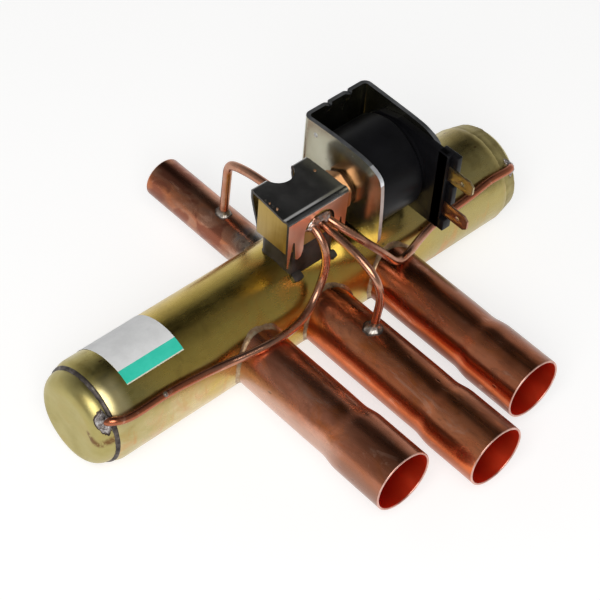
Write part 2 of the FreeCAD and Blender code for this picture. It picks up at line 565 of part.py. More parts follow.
# black foot on the body: a drawn cup with its rim cut to the tube, and two toes in front
sad_out = box("saddle_out", -D("saddle_x0"), D("saddle_x1"), -D("saddle_y0"), D("saddle_y1"), 11, pz_q - hs)
doc.recompute()
cup_corners = [(i + 1, 2.6, 2.6) for i, e in enumerate(sad_out.Shape.Edges) if e.BoundBox.ZLength > 10]
sad_round = doc.addObject("Part::Fillet", "saddle_round")
sad_round.Base = sad_out
sad_round.Edges = cup_corners
sad_in = box("saddle_in", -D("saddle_x0") + D("saddle_t"), D("saddle_x1") - D("saddle_t"), -D("saddle_y0") + D("saddle_t"),
             D("saddle_y1") - D("saddle_t"), 8, pz_q - hs - D("saddle_t"))
toes_skin = cut("toe_skin", cyl("toe_out", D("body_r") + D("saddle_t"), 30, -13, 0, 0, ALONG_X), [full_wall("toe_wall")])
toe_boxes = []
for t, xa, xb in (("a", -D("saddle_x0") + 0.3, -D("saddle_x0") + 4.4), ("b", D("saddle_x1") - 3.6, D("saddle_x1"))):
    toe_boxes.append(box("toe_f" + t, xa, xb, -D("saddle_y0") - D("foot_len"), -D("saddle_y0") + 0.6, 8, 24))
toes = common("toes", toes_skin, fuse("toe_blocks", toe_boxes))
sad = fuse("saddle_fused", [cut("saddle_shell", sad_round, [sad_in]), toes])
node("pilot_saddle", cut("pilot_saddle_cut", sad, [full_wall("saddle_wall")]))

# plated bracket: top plate with a U notch, arched front with slotted legs, two rear legs
zt = pz_q + hs
yf = py_q - hs
bt = D("bracket_t")
top = padded("bracket_top", "XY_Plane", [
    (-D("bracket_x0"), yf - bt), (D("bracket_x1"), yf - bt), (D("bracket_rx1"), D("bracket_y1")), (-D("bracket_rx0"), D("bracket_y1"))], bt)
place(top, 0, 0, zt)
fr = new_body("bracket_front")
sk = sketch(fr, "XZ_Plane", [
    (-D("bracket_x0"), zt + bt), (-D("bracket_x0") + 0.5, D("leg_z")), (-12.2, D("leg_z")), (-11.1, 36.0), (-10.3, 36.0), (-8.9, D("leg_z") + 1.6),
    (-6.4, D("leg_z") + 2.4), (D("arch_x") - D("arch_r"), 33.0), (D("arch_x") - D("arch_r"), D("arch_z")),
    (D("arch_x") + D("arch_r"), D("arch_z")), (D("arch_x") + D("arch_r"), 33.0),
    (8.7, D("leg_z") + 2.4), (10.5, D("leg_z") + 1.6), (11.3, 35.0), (11.9, 35.0), (12.7, D("leg_z") + 1.0), (13.7, D("leg_z") + 1.0),
    (D("bracket_x1"), zt + bt)], "bracket_front_outline", arcs={8: (1.3, 44.0)})
pad = fr.newObject("PartDesign::Pad", "bracket_front_pad")
pad.Profile = sk
bind(pad, "Length", bt)
place(fr, 0, yf, 0)
doc.recompute()
if abs(fr.Shape.BoundBox.YMax - (yf.v)) > 0.01:
    raise RuntimeError("front flange points the wrong way %r" % fr.Shape.BoundBox)
rears = []
for t, xa, xb in (("l", -D("bracket_rx0"), Q(-5.4, "-5.4")), ("r", Q(7.2, "7.2"), D("bracket_rx1"))):
    rr = new_body("bracket_rear_" + t)
    sk = sketch(rr, "YZ_Plane", [
        (D("bracket_y1"), zt + bt), (D("bracket_y1") - bt, zt + bt), (D("bracket_y1") - bt, zt - 3), (D("saddle_y1") + 0.02, 29.5),
        (D("saddle_y1") + 0.02, 26.0), (D("saddle_y1") + bt, 26.0), (D("saddle_y1") + bt + 0.2, 29.3), (D("bracket_y1"), zt - 3)], "rear_outline_" + t)
    pad = rr.newObject("PartDesign::Pad", "rear_pad_" + t)
    pad.Profile = sk
    bind(pad, "Length", xb - xa)
    place(rr, xa, 0, 0)
    rears.append(rr)
notch = cyl("bracket_notch", D("notch_r"), 12, D("notch_x"), D("notch_y"), zt - 6)
brk = fuse("bracket_fused", [top, fr] + rears)
brk2 = cut("bracket_notched", brk, [notch])
doc.recompute()
bend = [(i + 1, 0.9, 0.9) for i, e in enumerate(brk2.Shape.Edges)
        if e.BoundBox.XLength > 20 and abs(e.BoundBox.ZMax - 46.6) < 0.02 and abs(e.BoundBox.YMax + 9.6) < 0.02]
rbend = [(i + 1, 0.8, 0.8) for i, e in enumerate(brk2.Shape.Edges)
         if 3 < e.BoundBox.XLength < 8 and abs(e.BoundBox.ZMax - 46.6) < 0.02 and e.BoundBox.YLength < 0.01 and abs(e.BoundBox.YMax - 11.8) < 0.02]
rf = doc.addObject("Part::Fillet", "bracket_bends")
rf.Base = brk2
rf.Edges = bend + rbend
node("pilot_bracket", rf)

# hexagonal collar
hexb = new_body("hex_body")
f = D("hex_af") / 2
s_ = D("hex_af") / 3.4641016
sk = sketch(hexb, "YZ_Plane", [(py_q - f, pz_q - s_), (Q.of(0) + py_q, pz_q - s_ * 2), (py_q + f, pz_q - s_), (py_q + f, pz_q + s_),
                               (Q.of(0) + py_q, pz_q + s_ * 2), (py_q - f, pz_q + s_)], "hex_outline")
pad = hexb.newObject("PartDesign::Pad", "hex_pad")
pad.Profile = sk
bind(pad, "Length", D("hex_end") - D("block_x1"))
place(hexb, D("block_x1"), 0, 0)
hex_cone = doc.addObject("Part::Cone", "hex_cone")
bind(hex_cone, "Radius1", D("hex_af") / 2 + 2.4)
bind(hex_cone, "Radius2", D("hex_af") / 2 + 0.2)
bind(hex_cone, "Height", D("hex_end") - D("block_x1"))
place(hex_cone, D("block_x1"), py_q, pz_q, ALONG_X)
hexc = common("hex_chamfered", hexb, hex_cone)
node("plunger_nut", cut("plunger_nut_cut", hexc, [cyl("hex_bore", D("ptube_r"), 12, D("block_x1") - 2, py_q, pz_q, ALONG_X)]))

def turned_x(name, pts):
    """Turned about X, then put on the pilot's axis."""
    b = revolved(name, "XY_Plane", pts, "H_Axis")
    place(b, 0, py_q, pz_q)
    return b


node("plunger_tube", turned_x("plunger_tube_turn", [
    (D("ptube_x0"), D("ptube_in")), (D("ptube_x0"), D("ptube_r")), (D("ptube_x1"), D("ptube_r")), (D("ptube_x1"), D("ptube_in"))]))
node("stop_plug", turned_x("stop_plug_turn", [
    (D("plug_x0"), 0), (D("plug_x0"), D("ptube_in")), (D("ptube_x1"), D("ptube_in")), (D("ptube_x1"), D("ptube_r")), (D("plug_x1"), D("ptube_r")),
    (D("plug_x1"), D("screw_r")), (D("screw_in"), D("screw_r")), (D("screw_in"), 0)]))
pl = turned_x("plunger_turn", [
    (D("plunger_x0"), 0), (D("plunger_x0"), D("plunger_r") - 0.4), (D("plunger_x0") + 0.4, D("plunger_r")), (D("plunger_x1") - 0.4, D("plunger_r")),
    (D("plunger_x1"), D("plunger_r") - 0.4), (D("plunger_x1"), D("pocket_r")), (D("pocket_x"), D("pocket_r")), (D("pocket_x"), 0)])
tongue = box("tongue", -D("tongue_x0"), D("plunger_x0") + 2, -2.6, -2.6 + D("tongue_t"), pz_q - D("tongue_w") / 2, pz_q + D("tongue_w") / 2)
twin = box("tongue_window", px_c - D("pslide_len") / 2 - 0.1, px_c + D("pslide_len") / 2 + 0.1, -5, 0,
           pz_q - D("pslide_w") / 2 - 0.1, pz_q + D("pslide_w") / 2 + 0.1)
node("plunger", fuse("plunger_fused", [pl, cut("tongue_cut", tongue, [twin])]))

sp = doc.addObject("Part::Feature", "spring_helix")
n_t, wire_r = VAL["spring_turns"], VAL["spring_wire"]
sp_len = VAL["plug_x0"] - VAL["pocket_x"] - 2 * wire_r - 0.04
helix = Part.makeHelix(sp_len / n_t, sp_len, VAL["spring_r"])
slope = sp_len / n_t / (2 * math.pi * VAL["spring_r"])
ring = Part.Circle(V3(VAL["spring_r"], 0, 0), V3(0, 1, slope), wire_r)
prof = Part.Wire([Part.Arc(ring, k * math.pi / 3, (k + 1) * math.pi / 3).toShape() for k in range(6)])
coil = Part.Wire(helix.Edges).makePipeShell([prof], True, True)
if coil.Volume < 0:
    coil.reverse()
sp.Shape = coil
sp.Placement = FreeCAD.Placement(V3(VAL["pocket_x"] + wire_r + 0.02, py, pz), ALONG_X)
node("plunger_spring", sp)

# ------------------------------------------------------------------------- coil
t = D("yoke_t")
rb = VAL["yoke_bend"]
x0, x1, y0, y1 = D("yoke_x0"), D("yoke_x1"), -D("yoke_y0"), D("yoke_y1")
R = D("yoke_bend")
ri = D("yoke_bend") - D("yoke_t")
k = 1 - math.sqrt(0.5)
strip = padded("yoke_strip", "XY_Plane", [
    (x0, y0), (x0 + t, y0), (x0 + t, y1 - R), (x0 + R, y1 - t), (x1 - R, y1 - t), (x1 - t, y1 - R), (x1 - t, y0), (x1, y0),
    (x1, y1 - R), (x1 - R, y1), (x0 + R, y1), (x0, y1 - R)], D("yoke_z1") - D("yoke_z0"),
    arcs={2: ((x0 + t).v + ri.v * k, (y1 - t).v - ri.v * k), 4: ((x1 - t).v - ri.v * k, (y1 - t).v - ri.v * k),
          8: (x1.v - rb * k, y1.v - rb * k), 10: (x0.v + rb * k, y1.v - rb * k)})
place(strip, 0, 0, D("yoke_z0"))
# side form of the arms: the top and bottom edges sweep in towards the open front
zc0, zc1 = D("yoke_z0"), D("yoke_z1")
r_big = (10.3 ** 2 + 2.4 ** 2) / 4.8
mid_dy = 5.4
mid_dz = r_big - math.sqrt(r_big ** 2 - mid_dy ** 2)
side = new_body("yoke_side")
sk = sketch(side, "YZ_Plane", [
    (22.0, zc0 - 0.0), (22.0, zc1), (-8.8, zc1), (-19.1, zc1 - 2.4), (y0, zc1 - 4.4), (y0, zc0 + 4.4), (-19.1, zc0 + 2.4), (-8.8, zc0)],
    "yoke_side_outline", arcs={2: (-8.8 - mid_dy, zc1.v - mid_dz), 3: (-20.35, zc1.v - 3.3), 5: (-20.35, zc0.v + 3.3), 6: (-8.8 - mid_dy, zc0.v + mid_dz)})
pad = side.newObject("PartDesign::Pad", "yoke_side_pad")
pad.Profile = sk
bind(pad, "Length", x1 - x0 + 4)
place(side, x0 - 2, 0, 0)
ystrip = common("yoke_shaped", strip, side)
ytools = [cyl("yoke_hole_l", D("yoke_hole"), 8, x0 - 3, py_q, pz_q, ALONG_X),
          cyl("yoke_hole_r", D("screw_hole"), 8, x1 - 5, py_q, pz_q, ALONG_X),
          cyl("yoke_dimple", Q(1.1, "1.1"), 0.7, x0 - 0.2, 13.0, 52.4, ALONG_X)]
crimps = []
for i, cx in enumerate((29.7, 39.3)):
    for j, za in enumerate((zc1 - 4, zc0 - 0.0)):
        ytools.append(cyl("crimp_cut_%d%d" % (i, j), Q(1.2, "1.2"), 4, cx, y1 + 0.35, za))
node("coil_yoke", cut("coil_yoke_cut", ystrip, ytools))

shell = new_body("shell_turn")
sk = sketch(shell, "XY_Plane", [
    (D("coil_x0"), D("coil_bore")), (D("coil_x0"), D("coil_r") - 1.0), (D("coil_x0") + 1.0, D("coil_r")), (D("coil_x1") - 0.8, D("coil_r")),
    (D("coil_x1"), D("coil_r") - 0.8), (D("coil_x1") + 0.6, D("neck_coil_r")), (D("flange_x0"), D("neck_coil_r")), (D("flange_x0"), D("coil_bore"))], "shell_profile")
rv = shell.newObject("PartDesign::Revolution", "shell_rev")
rv.Profile = sk
rv.ReferenceAxis = (sk, ["H_Axis"])
rv.Angle = 360.0
place(shell, 0, py_q, pz_q)
plate = padded("flange_plate", "YZ_Plane", [
    (-D("head_y"), D("head_z0") + 1.2), (-D("head_y") + 1.2, D("head_z0")), (py_q, D("head_z0")), (py_q + 9.0, D("head_z0") + 2.6), (py_q + 15.0, pz_q - 8.6),
    (py_q + 15.0, pz_q + 8.6), (py_q + 9.0, D("head_z1") - 2.6), (py_q, D("head_z1")), (-D("head_y") + 1.2, D("head_z1")), (-D("head_y"), D("head_z1") - 1.2)],
    D("flange_x1") - D("flange_x0"))
place(plate, D("flange_x0"), 0, 0)
head = box("term_head", D("flange_x0"), D("head_x1"), -D("head_y"), -D("head_y1"), D("head_z0"), D("head_z1"))
lugs = [box("lug_top", D("lug_x0"), D("head_x1"), -D("lug_y"), -D("head_y") + 0.5, 46.8, D("head_z1") - 0.4),
        box("lug_mid", D("lug_x0"), D("head_x1"), -D("lug_y") + 0.3, -D("head_y") + 0.5, 31.6, 41.2),
        box("lug_low", D("flange_x0") + 0.6, D("head_x1"), -D("lug_y") + 0.6, -D("head_y") + 0.5, D("head_z0"), 25.4)]
shell_all = fuse("shell_fused", [shell, plate, head] + lugs)
wind_cav = cut("wind_cavity", cyl("wind_out", D("wind_r1"), D("wind_x1") - D("wind_x0"), D("wind_x0"), py_q, pz_q, ALONG_X),
               [cyl("wind_in", D("wind_r0"), 30, D("wind_x0") - 5, py_q, pz_q, ALONG_X)])


def blade(name, zq):
    h = D("blade_w") / 2
    b = padded(name + "_pad", "YZ_Plane", [
        (-D("blade_root"), zq - h), (-D("blade_root"), zq + h), (-D("blade_tip") + 1.6, zq + h), (-D("blade_tip"), zq + h - 1.5),
        (-D("blade_tip"), zq - h + 1.5), (-D("blade_tip") + 1.6, zq - h)], D("blade_t"))
    place(b, D("blade_x0"), 0, 0)
    return cut(name + "_cut", b, [cyl(name + "_hole", D("blade_hole"), 4, D("blade_x0") - 1, -D("blade_hole_y"), zq, ALONG_X)])


bu = node("terminal_upper", blade("blade_up", D("blade_up_z")))
bl = node("terminal_lower", blade("blade_lo", D("blade_lo_z")))
slots = [box("slot_up", D("blade_x0"), D("blade_x0") + D("blade_t"), -40, -D("blade_root"), D("blade_up_z") - D("blade_w") / 2, D("blade_up_z") + D("blade_w") / 2),
         box("slot_lo", D("blade_x0"), D("blade_x0") + D("blade_t"), -40, -D("blade_root"), D("blade_lo_z") - D("blade_w") / 2, D("blade_lo_z") + D("blade_w") / 2)]
plug_clear = cyl("shell_bore", D("coil_bore"), 12, D("flange_x0") - 2, py_q, pz_q, ALONG_X)
node("coil_shell", cut("coil_shell_cut", shell_all, [wind_cav, plug_clear] + slots))
node("coil_winding", cut("coil_winding_cut", cyl("wind_out2", D("wind_r1"), D("wind_x1") - D("wind_x0"), D("wind_x0"), py_q, pz_q, ALONG_X),
                         [cyl("wind_in2", D("wind_r0"), 30, D("wind_x0") - 5, py_q, pz_q, ALONG_X)]))
node("screw_washer", cut("screw_washer_cut", cyl("washer_out", D("washer_r"), D("washer_t"), D("yoke_x1"), py_q, pz_q, ALONG_X),
                         [cyl("washer_in", D("screw_r"), 4, D("yoke_x1") - 1, py_q, pz_q, ALONG_X)]))
hx = D("yoke_x1") + D("washer_t")
node("coil_screw", cut("coil_screw_cut", turned_x("screw_body_turn", [
    (D("screw_in") + 1.5, 0), (D("screw_in") + 1.5, D("screw_r")), (hx, D("screw_r")), (hx, D("screw_head_r")), (hx + D("screw_head_t") - 0.7, D("screw_head_r")),
    (hx + D("screw_head_t"), D("screw_head_r") - 0.9), (hx + D("screw_head_t"), 0)]),
    [box("screw_slot_a", hx + D("screw_head_t") - 1.4, hx + 6, py_q - 0.45, py_q + 0.45, pz_q - 2.4, pz_q + 2.4),
     box("screw_slot_b", hx + D("screw_head_t") - 1.4, hx + 6, py_q - 2.4, py_q + 2.4, pz_q - 0.45, pz_q + 0.45)]))

# ------------------------------------------------------------------------ label
lab_out = doc.addObject("Part::Cylinder", "label_outer")
bind(lab_out, "Radius", D("body_r") + D("label_t"))
bind(lab_out, "Height", D("label_len"))
bind(lab_out, "Angle", D("label_a0") + D("label_a1"))
# the sector opens from the front edge over the top to the back
lab_out.Placement = FreeCAD.Placement(V3(-VAL["label_x0"], 0, 0), FreeCAD.Rotation())
doc.recompute()
node("label", cut("label_cut", lab_out, [full_wall("label_wall")]))
e_y = V3(0, math.cos(math.radians(90 - VAL["label_a1"])), math.sin(math.radians(90 - VAL["label_a1"])))
m_rot = FreeCAD.Rotation(V3(0, 0, 0) + e_y, V3(1, 0, 0).cross(e_y), V3(1, 0, 0), "ZXY")
lab_out.Placement = FreeCAD.Placement(V3(-VAL["label_x0"], 0, 0), m_rot)

doc.recompute()

# ----------------------------------------------------------------- check, write
bad = [o.Name for o in doc.Objects if "Invalid" in o.State or "Error" in o.State]
if bad:
    raise RuntimeError("objects in error: " + ", ".join(bad))
if len(NODES) != len(set(n for n, _ in NODES)) or len(NODES) > 60:
    raise RuntimeError("node names")
os.makedirs("parts", exist_ok=True)
for old in os.listdir("parts"):
    if old.endswith(".step") and old[:-5] not in [n for n, _ in NODES]:
        os.remove(os.path.join("parts", old))
total, moment = 0.0, V3(0, 0, 0)
for label, obj in NODES:
    shp = obj.Shape
    if shp.isNull() or not shp.isValid() or not shp.Solids:
        raise RuntimeError("bad shape: " + label)
    for so in shp.Solids:
        if so.Volume < 0.05:
            raise RuntimeError("sliver in " + label)
        total += so.Volume
        moment += so.CenterOfMass * so.Volume
    bb = shp.BoundBox
    print("%-22s solids %d vol %9.1f  x %.1f..%.1f y %.1f..%.1f z %.1f..%.1f" % (
        label, len(shp.Solids), sum(s.Volume for s in shp.Solids), bb.XMin, bb.XMax, bb.YMin, bb.YMax, bb.ZMin, bb.ZMax))
for label, obj in NODES:
    obj.Shape.exportStep(os.path.join("parts", label + ".step"))
print("nodes", len(NODES), "volume", total, "centre", moment * (1 / total))
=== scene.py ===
import math
import bpy
import bmesh
from mathutils import Matrix, Vector, noise


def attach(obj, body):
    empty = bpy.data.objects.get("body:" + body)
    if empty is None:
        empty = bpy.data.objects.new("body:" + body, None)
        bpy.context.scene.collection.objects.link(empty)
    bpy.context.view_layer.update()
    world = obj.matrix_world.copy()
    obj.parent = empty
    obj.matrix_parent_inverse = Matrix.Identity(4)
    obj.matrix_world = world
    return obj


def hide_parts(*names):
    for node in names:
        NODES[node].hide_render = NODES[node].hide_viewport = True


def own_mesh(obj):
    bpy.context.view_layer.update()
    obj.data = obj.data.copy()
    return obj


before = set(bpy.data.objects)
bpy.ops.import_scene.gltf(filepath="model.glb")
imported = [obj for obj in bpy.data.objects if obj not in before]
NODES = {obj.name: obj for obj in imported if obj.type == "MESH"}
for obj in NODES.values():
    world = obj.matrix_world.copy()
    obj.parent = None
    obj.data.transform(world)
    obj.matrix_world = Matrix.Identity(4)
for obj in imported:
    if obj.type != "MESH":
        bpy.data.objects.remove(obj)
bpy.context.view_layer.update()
MM = 0.001
pi, cos, sin, sqrt = math.pi, math.cos, math.sin, math.sqrt

# sizes repeated from the CAD, in millimetres
BODY_R, BORE_R, BODY_HALF = 19.25, 17.6, 94.4
PY, PZ = -0.8, 37.8


# ------------------------------------------------------------------ materials
class Mat:
    """A small builder for node materials; every texture reads object coordinates, in metres."""

    def __init__(self, name):
        self.m = bpy.data.materials.new(name)
        self.m.use_nodes = True
        self.t = self.m.node_tree
        self.b = self.t.nodes["Principled BSDF"]
        self.co = self.t.nodes.new("ShaderNodeTexCoord").outputs["Object"]

    def link(self, a, b):
        if isinstance(a, (int, float)):
            b.default_value = a
        elif isinstance(a, tuple):
            b.default_value = (*a, 1.0) if len(a) == 3 and len(b.default_value) == 4 else a
        else:
            self.t.links.new(a, b)

    def map(self, scale=(1, 1, 1), rot=(0, 0, 0), vec=None):
        n = self.t.nodes.new("ShaderNodeMapping")
        n.inputs["Scale"].default_value = scale
        n.inputs["Rotation"].default_value = rot
        self.link(vec or self.co, n.inputs["Vector"])
        return n.outputs[0]

    def noise(self, scale, detail=3.0, rough=0.55, vec=None, dist=0.0):
        n = self.t.nodes.new("ShaderNodeTexNoise")
        n.inputs["Scale"].default_value = scale
        n.inputs["Detail"].default_value = detail
        n.inputs["Roughness"].default_value = rough
        n.inputs["Distortion"].default_value = dist
        self.link(vec or self.co, n.inputs["Vector"])
        return n.outputs["Fac"]

    def voronoi(self, scale, vec=None, feature="F1", rand=1.0):
        n = self.t.nodes.new("ShaderNodeTexVoronoi")
        n.feature = feature
        n.inputs["Scale"].default_value = scale
        n.inputs["Randomness"].default_value = rand
        self.link(vec or self.co, n.inputs["Vector"])
        return n.outputs["Distance"]

    def ramp(self, fac, stops, interp="LINEAR"):
        n = self.t.nodes.new("ShaderNodeValToRGB")
        n.color_ramp.interpolation = interp
        e = n.color_ramp.elements
        while len(e) < len(stops):
            e.new(0.5)
        for k, (p, c) in enumerate(stops):
            e[k].position = p
            e[k].color = (c, c, c, 1) if isinstance(c, (int, float)) else (*c, 1)
        self.link(fac, n.inputs[0])
        return n.outputs[0]

    def mix(self, fac, a, b, kind="MIX"):
        n = self.t.nodes.new("ShaderNodeMix")
        n.data_type = "RGBA"
        n.blend_type = kind
        self.link(fac, n.inputs[0])
        self.link(a, n.inputs[6])
        self.link(b, n.inputs[7])
        return n.outputs[2]

    def math(self, op, a, b=0.0, c=0.0, clamp=False):
        n = self.t.nodes.new("ShaderNodeMath")
        n.operation = op
        n.use_clamp = clamp
        self.link(a, n.inputs[0])
        self.link(b, n.inputs[1])
        self.link(c, n.inputs[2])
        return n.outputs[0]

    def range(self, v, a, b, c, d):
        n = self.t.nodes.new("ShaderNodeMapRange")
        for i, q in enumerate((v, a, b, c, d)):
            self.link(q, n.inputs[i])
        return n.outputs[0]

    def sep(self, vec=None):
        n = self.t.nodes.new("ShaderNodeSeparateXYZ")
        self.link(vec or self.co, n.inputs[0])
        return n.outputs

    def bump(self, height, strength=0.3, dist=0.0002, under=None):
        n = self.t.nodes.new("ShaderNodeBump")
        n.inputs["Strength"].default_value = strength
        n.inputs["Distance"].default_value = dist
        self.link(height, n.inputs["Height"])
        if under is not None:
            self.link(under, n.inputs["Normal"])
        return n.outputs[0]

    def done(self, color, metal, rough, normal=None, coat=0.0, coat_rough=0.1, spec=None, aniso=0.0):
        self.link(color, self.b.inputs["Base Color"])
        self.b.inputs["Metallic"].default_value = metal
        self.link(rough, self.b.inputs["Roughness"])
        if normal is not None:
            self.link(normal, self.b.inputs["Normal"])
        if coat:
            self.b.inputs["Coat Weight"].default_value = coat
            self.b.inputs["Coat Roughness"].default_value = coat_rough
        if spec is not None:
            self.b.inputs["Specular IOR Level"].default_value = spec
        return self.m


def brass_body():
    m = Mat("brass_satin")
    cloud = m.noise(34, 4, 0.6, m.map((0.6, 1.4, 1.4)))
    warm = m.ramp(cloud, [(0.32, (0.53, 0.385, 0.080)), (0.50, (0.60, 0.445, 0.105)), (0.66, (0.58, 0.38, 0.075))])
    x, y, z = m.sep()
    heat = m.ramp(m.noise(58, 5, 0.66, m.map((1, 1, 1)), 0.9), [(0.42, 0.0), (0.62, 0.75)])
    zone = m.math("MULTIPLY", m.range(m.math("ABSOLUTE", x), 0.056, 0.030, 0.0, 1.0), m.range(y, -0.002, -0.014, 0.0, 1.0), clamp=True)
    warm = m.mix(m.math("MULTIPLY", heat, zone), warm, (0.64, 0.31, 0.055))
    haze = m.ramp(m.noise(150, 5, 0.68, m.map((1, 1.2, 1.2)), 0.8), [(0.50, 0.0), (0.66, 1.0)])
    right = m.range(m.math("ABSOLUTE", x), 0.030, 0.088, 0.06, 0.55)
    c = m.mix(m.math("MULTIPLY", haze, right), warm, (0.26, 0.18, 0.05))
    pale = m.range(m.math("ADD", x, m.math("MULTIPLY", m.math("SUBTRACT", cloud, 0.5), 0.05)), 0.026, 0.062, 0.0, 0.85)
    c = m.mix(m.math("MULTIPLY", pale, 1.0, clamp=True), c, (0.42, 0.36, 0.155))
    olive = m.range(m.math("ADD", x, m.math("MULTIPLY", m.math("SUBTRACT", cloud, 0.5), 0.03)), -0.068, -0.084, 0.0, 0.9)
    c = m.mix(m.math("MULTIPLY", olive, 1.0, clamp=True), c, (0.41, 0.355, 0.125))
    # painted reflection: paler beige and pinkish patches are painted on the lower front of the left half, where the
    # body mirrors the floor and the copper tubes
    painted_pale_reflection = m.ramp(m.noise(48, 5, 0.62, m.map((0.7, 1, 1)), 0.5), [(0.34, 0.15), (0.58, 0.75)])
    side = m.math("MULTIPLY", m.range(x, -0.024, -0.046, 0.0, 1.0), m.range(z, 0.0120, 0.0030, 0.0, 1.0), clamp=True)
    side = m.math("MULTIPLY", side, m.range(y, 0.0, -0.0100, 0.0, 1.0), clamp=True)
    c = m.mix(m.math("MULTIPLY", painted_pale_reflection, side), c, (0.70, 0.60, 0.38))
    painted_pink_reflection = m.ramp(m.noise(72, 5, 0.66, m.map((1.2, 0.8, 0.8)), 0.8), [(0.50, 0.0), (0.62, 0.7)])
    c = m.mix(m.math("MULTIPLY", painted_pink_reflection, side), c, (0.62, 0.40, 0.20))
    mott = m.ramp(m.noise(105, 5, 0.66, m.map((0.8, 1, 1)), 0.9), [(0.48, 0.0), (0.64, 0.6)])
    end = m.math("MULTIPLY", m.range(x, -0.074, -0.086, 0.0, 1.0), m.range(z, 0.004, 0.012, 0.0, 1.0), clamp=True)
    c = m.mix(m.math("MULTIPLY", mott, end), c, (0.24, 0.19, 0.045))
    # painted highlight: the rounded lip at the left end is painted lighter yellow where it would catch the lamp
    painted_lip_highlight = m.math("MULTIPLY", m.range(x, -0.0850, -0.0885, 0.0, 0.7), m.range(y, -0.0020, -0.0070, 0.0, 1.0), clamp=True)
    c = m.mix(m.math("MULTIPLY", painted_lip_highlight, m.range(z, 0.0060, 0.0110, 0.0, 1.0), clamp=True), c, (0.78, 0.69, 0.38))
    # dark patches on the top of the right end: part soot, part painted shade that damps the rounded lip's highlight
    soot = m.ramp(m.noise(95, 5, 0.66, m.map((1, 1, 1), (0.3, 0, 0)), 0.8), [(0.44, 0.0), (0.64, 0.75)])
    top_shade_mask = m.math("MULTIPLY", m.range(x, 0.070, 0.084, 0.0, 1.0), m.range(z, 0.004, 0.013, 0.0, 1.0), clamp=True)
    c = m.mix(m.math("MULTIPLY", soot, top_shade_mask), c, (0.20, 0.15, 0.045))
    # orange streaks over the lower part of the body, below the capillary
    low_orange_streaks = m.ramp(m.noise(64, 4, 0.6, m.map((1.6, 0.5, 0.5)), 1.2), [(0.56, 0.0), (0.66, 0.75)])
    low = m.range(z, 0.010, -0.006, 0.0, 1.0)
    c = m.mix(m.math("MULTIPLY", low_orange_streaks, low), c, (0.60, 0.26, 0.07))
    spots = m.ramp(m.voronoi(150, m.map((0.7, 1, 1))), [(0.0, 1.0), (0.055, 1.0), (0.085, 0.0)])
    few = m.ramp(m.noise(23, 2), [(0.50, 0.0), (0.60, 0.8)])
    c = m.mix(m.math("MULTIPLY", spots, few), c, (0.14, 0.08, 0.03))
    scuff = m.noise(420, 4, 0.65, m.map((0.25, 1, 1)))
    c = m.mix(m.range(scuff, 0.35, 0.75, 0.0, 0.30), c, (0.46, 0.33, 0.09))
    r = m.range(m.noise(70, 4), 0.3, 0.7, 0.20, 0.34)
    r = m.math("ADD", r, m.range(scuff, 0.3, 0.7, -0.04, 0.05))
    r = m.math("ADD", r, m.math("MULTIPLY", m.range(m.math("ABSOLUTE", x), 0.085, 0.090, 0.0, 0.12), 1.0, clamp=True))
    nrm = m.bump(scuff, 0.07, 0.00005)
    nrm = m.bump(m.noise(38, 3, 0.5), 0.30, 0.0007, nrm)
    return m.done(c, 1.0, r, nrm)


def brass_cap():
    m = Mat("brass_cap_dull")
    cloud = m.noise(70, 4, 0.6)
    c = m.ramp(cloud, [(0.30, (0.40, 0.335, 0.115)), (0.52, (0.46, 0.395, 0.155)), (0.72, (0.46, 0.36, 0.12))])
    x, y, z = m.sep()
    burn = m.ramp(m.noise(300, 5, 0.68, None, 0.6), [(0.40, 0.05), (0.54, 0.95)])
    dy = m.math("ADD", y, 0.0142)
    dz = m.math("SUBTRACT", z, 0.0062)
    ring = m.math("SQRT", m.math("ADD", m.math("MULTIPLY", dy, dy), m.math("MULTIPLY", dz, dz)))
    ring = m.math("ADD", ring, m.math("MULTIPLY", m.math("SUBTRACT", m.noise(260, 3, 0.6), 0.5), 0.0022))
    near = m.math("MULTIPLY", m.range(m.math("ABSOLUTE", m.math("SUBTRACT", ring, 0.0038)), 0.0018, 0.0005, 0.0, 1.0), m.range(z, 0.0062, 0.0050, 0.0, 1.0), clamp=True)
    c = m.mix(m.math("MULTIPLY", burn, near, clamp=True), c, (0.20, 0.10, 0.04))
    # dark patches on the top of the right cap: part soot, part painted shade
    soot = m.ramp(m.noise(120, 5, 0.65, m.map((1, 1, 1), (0.4, 0, 0)), 0.7), [(0.56, 0.0), (0.70, 0.7)])
    rightend = m.range(x, 0.05, 0.09, 0.0, 1.0)
    top_shade_mask = m.range(z, 0.002, 0.014, 0.0, 1.0)
    c = m.mix(m.math("MULTIPLY", m.math("MULTIPLY", soot, rightend), top_shade_mask), c, (0.10, 0.075, 0.03))
    scr = m.noise(600, 4, 0.6, m.map((1, 0.3, 1.0), (0.5, 0.2, 0.7)))
    r = m.math("ADD", m.range(m.noise(90, 3), 0.3, 0.7, 0.34, 0.47), m.range(scr, 0.3, 0.7, -0.03, 0.04))
    nrm = m.bump(scr, 0.07, 0.00005)
    nrm = m.bump(m.noise(80, 2, 0.5), 0.25, 0.0003, nrm)
    return m.done(c, 1.0, r, nrm)


def brass_block():
    m = Mat("brass_milled")
    mill = m.noise(1500, 2, 0.5, m.map((0.3, 1, 0.05)))
    grain = m.noise(160, 4, 0.6)
    c = m.mix(0.5, m.ramp(grain, [(0.35, (0.38, 0.25, 0.065)), (0.65, (0.50, 0.35, 0.11))]), m.ramp(mill, [(0.3, (0.38, 0.26, 0.07)), (0.7, (0.48, 0.34, 0.11))]))
    r = m.range(grain, 0.3, 0.7, 0.36, 0.48)
    return m.done(c, 1.0, r, m.bump(mill, 0.18, 0.00006))


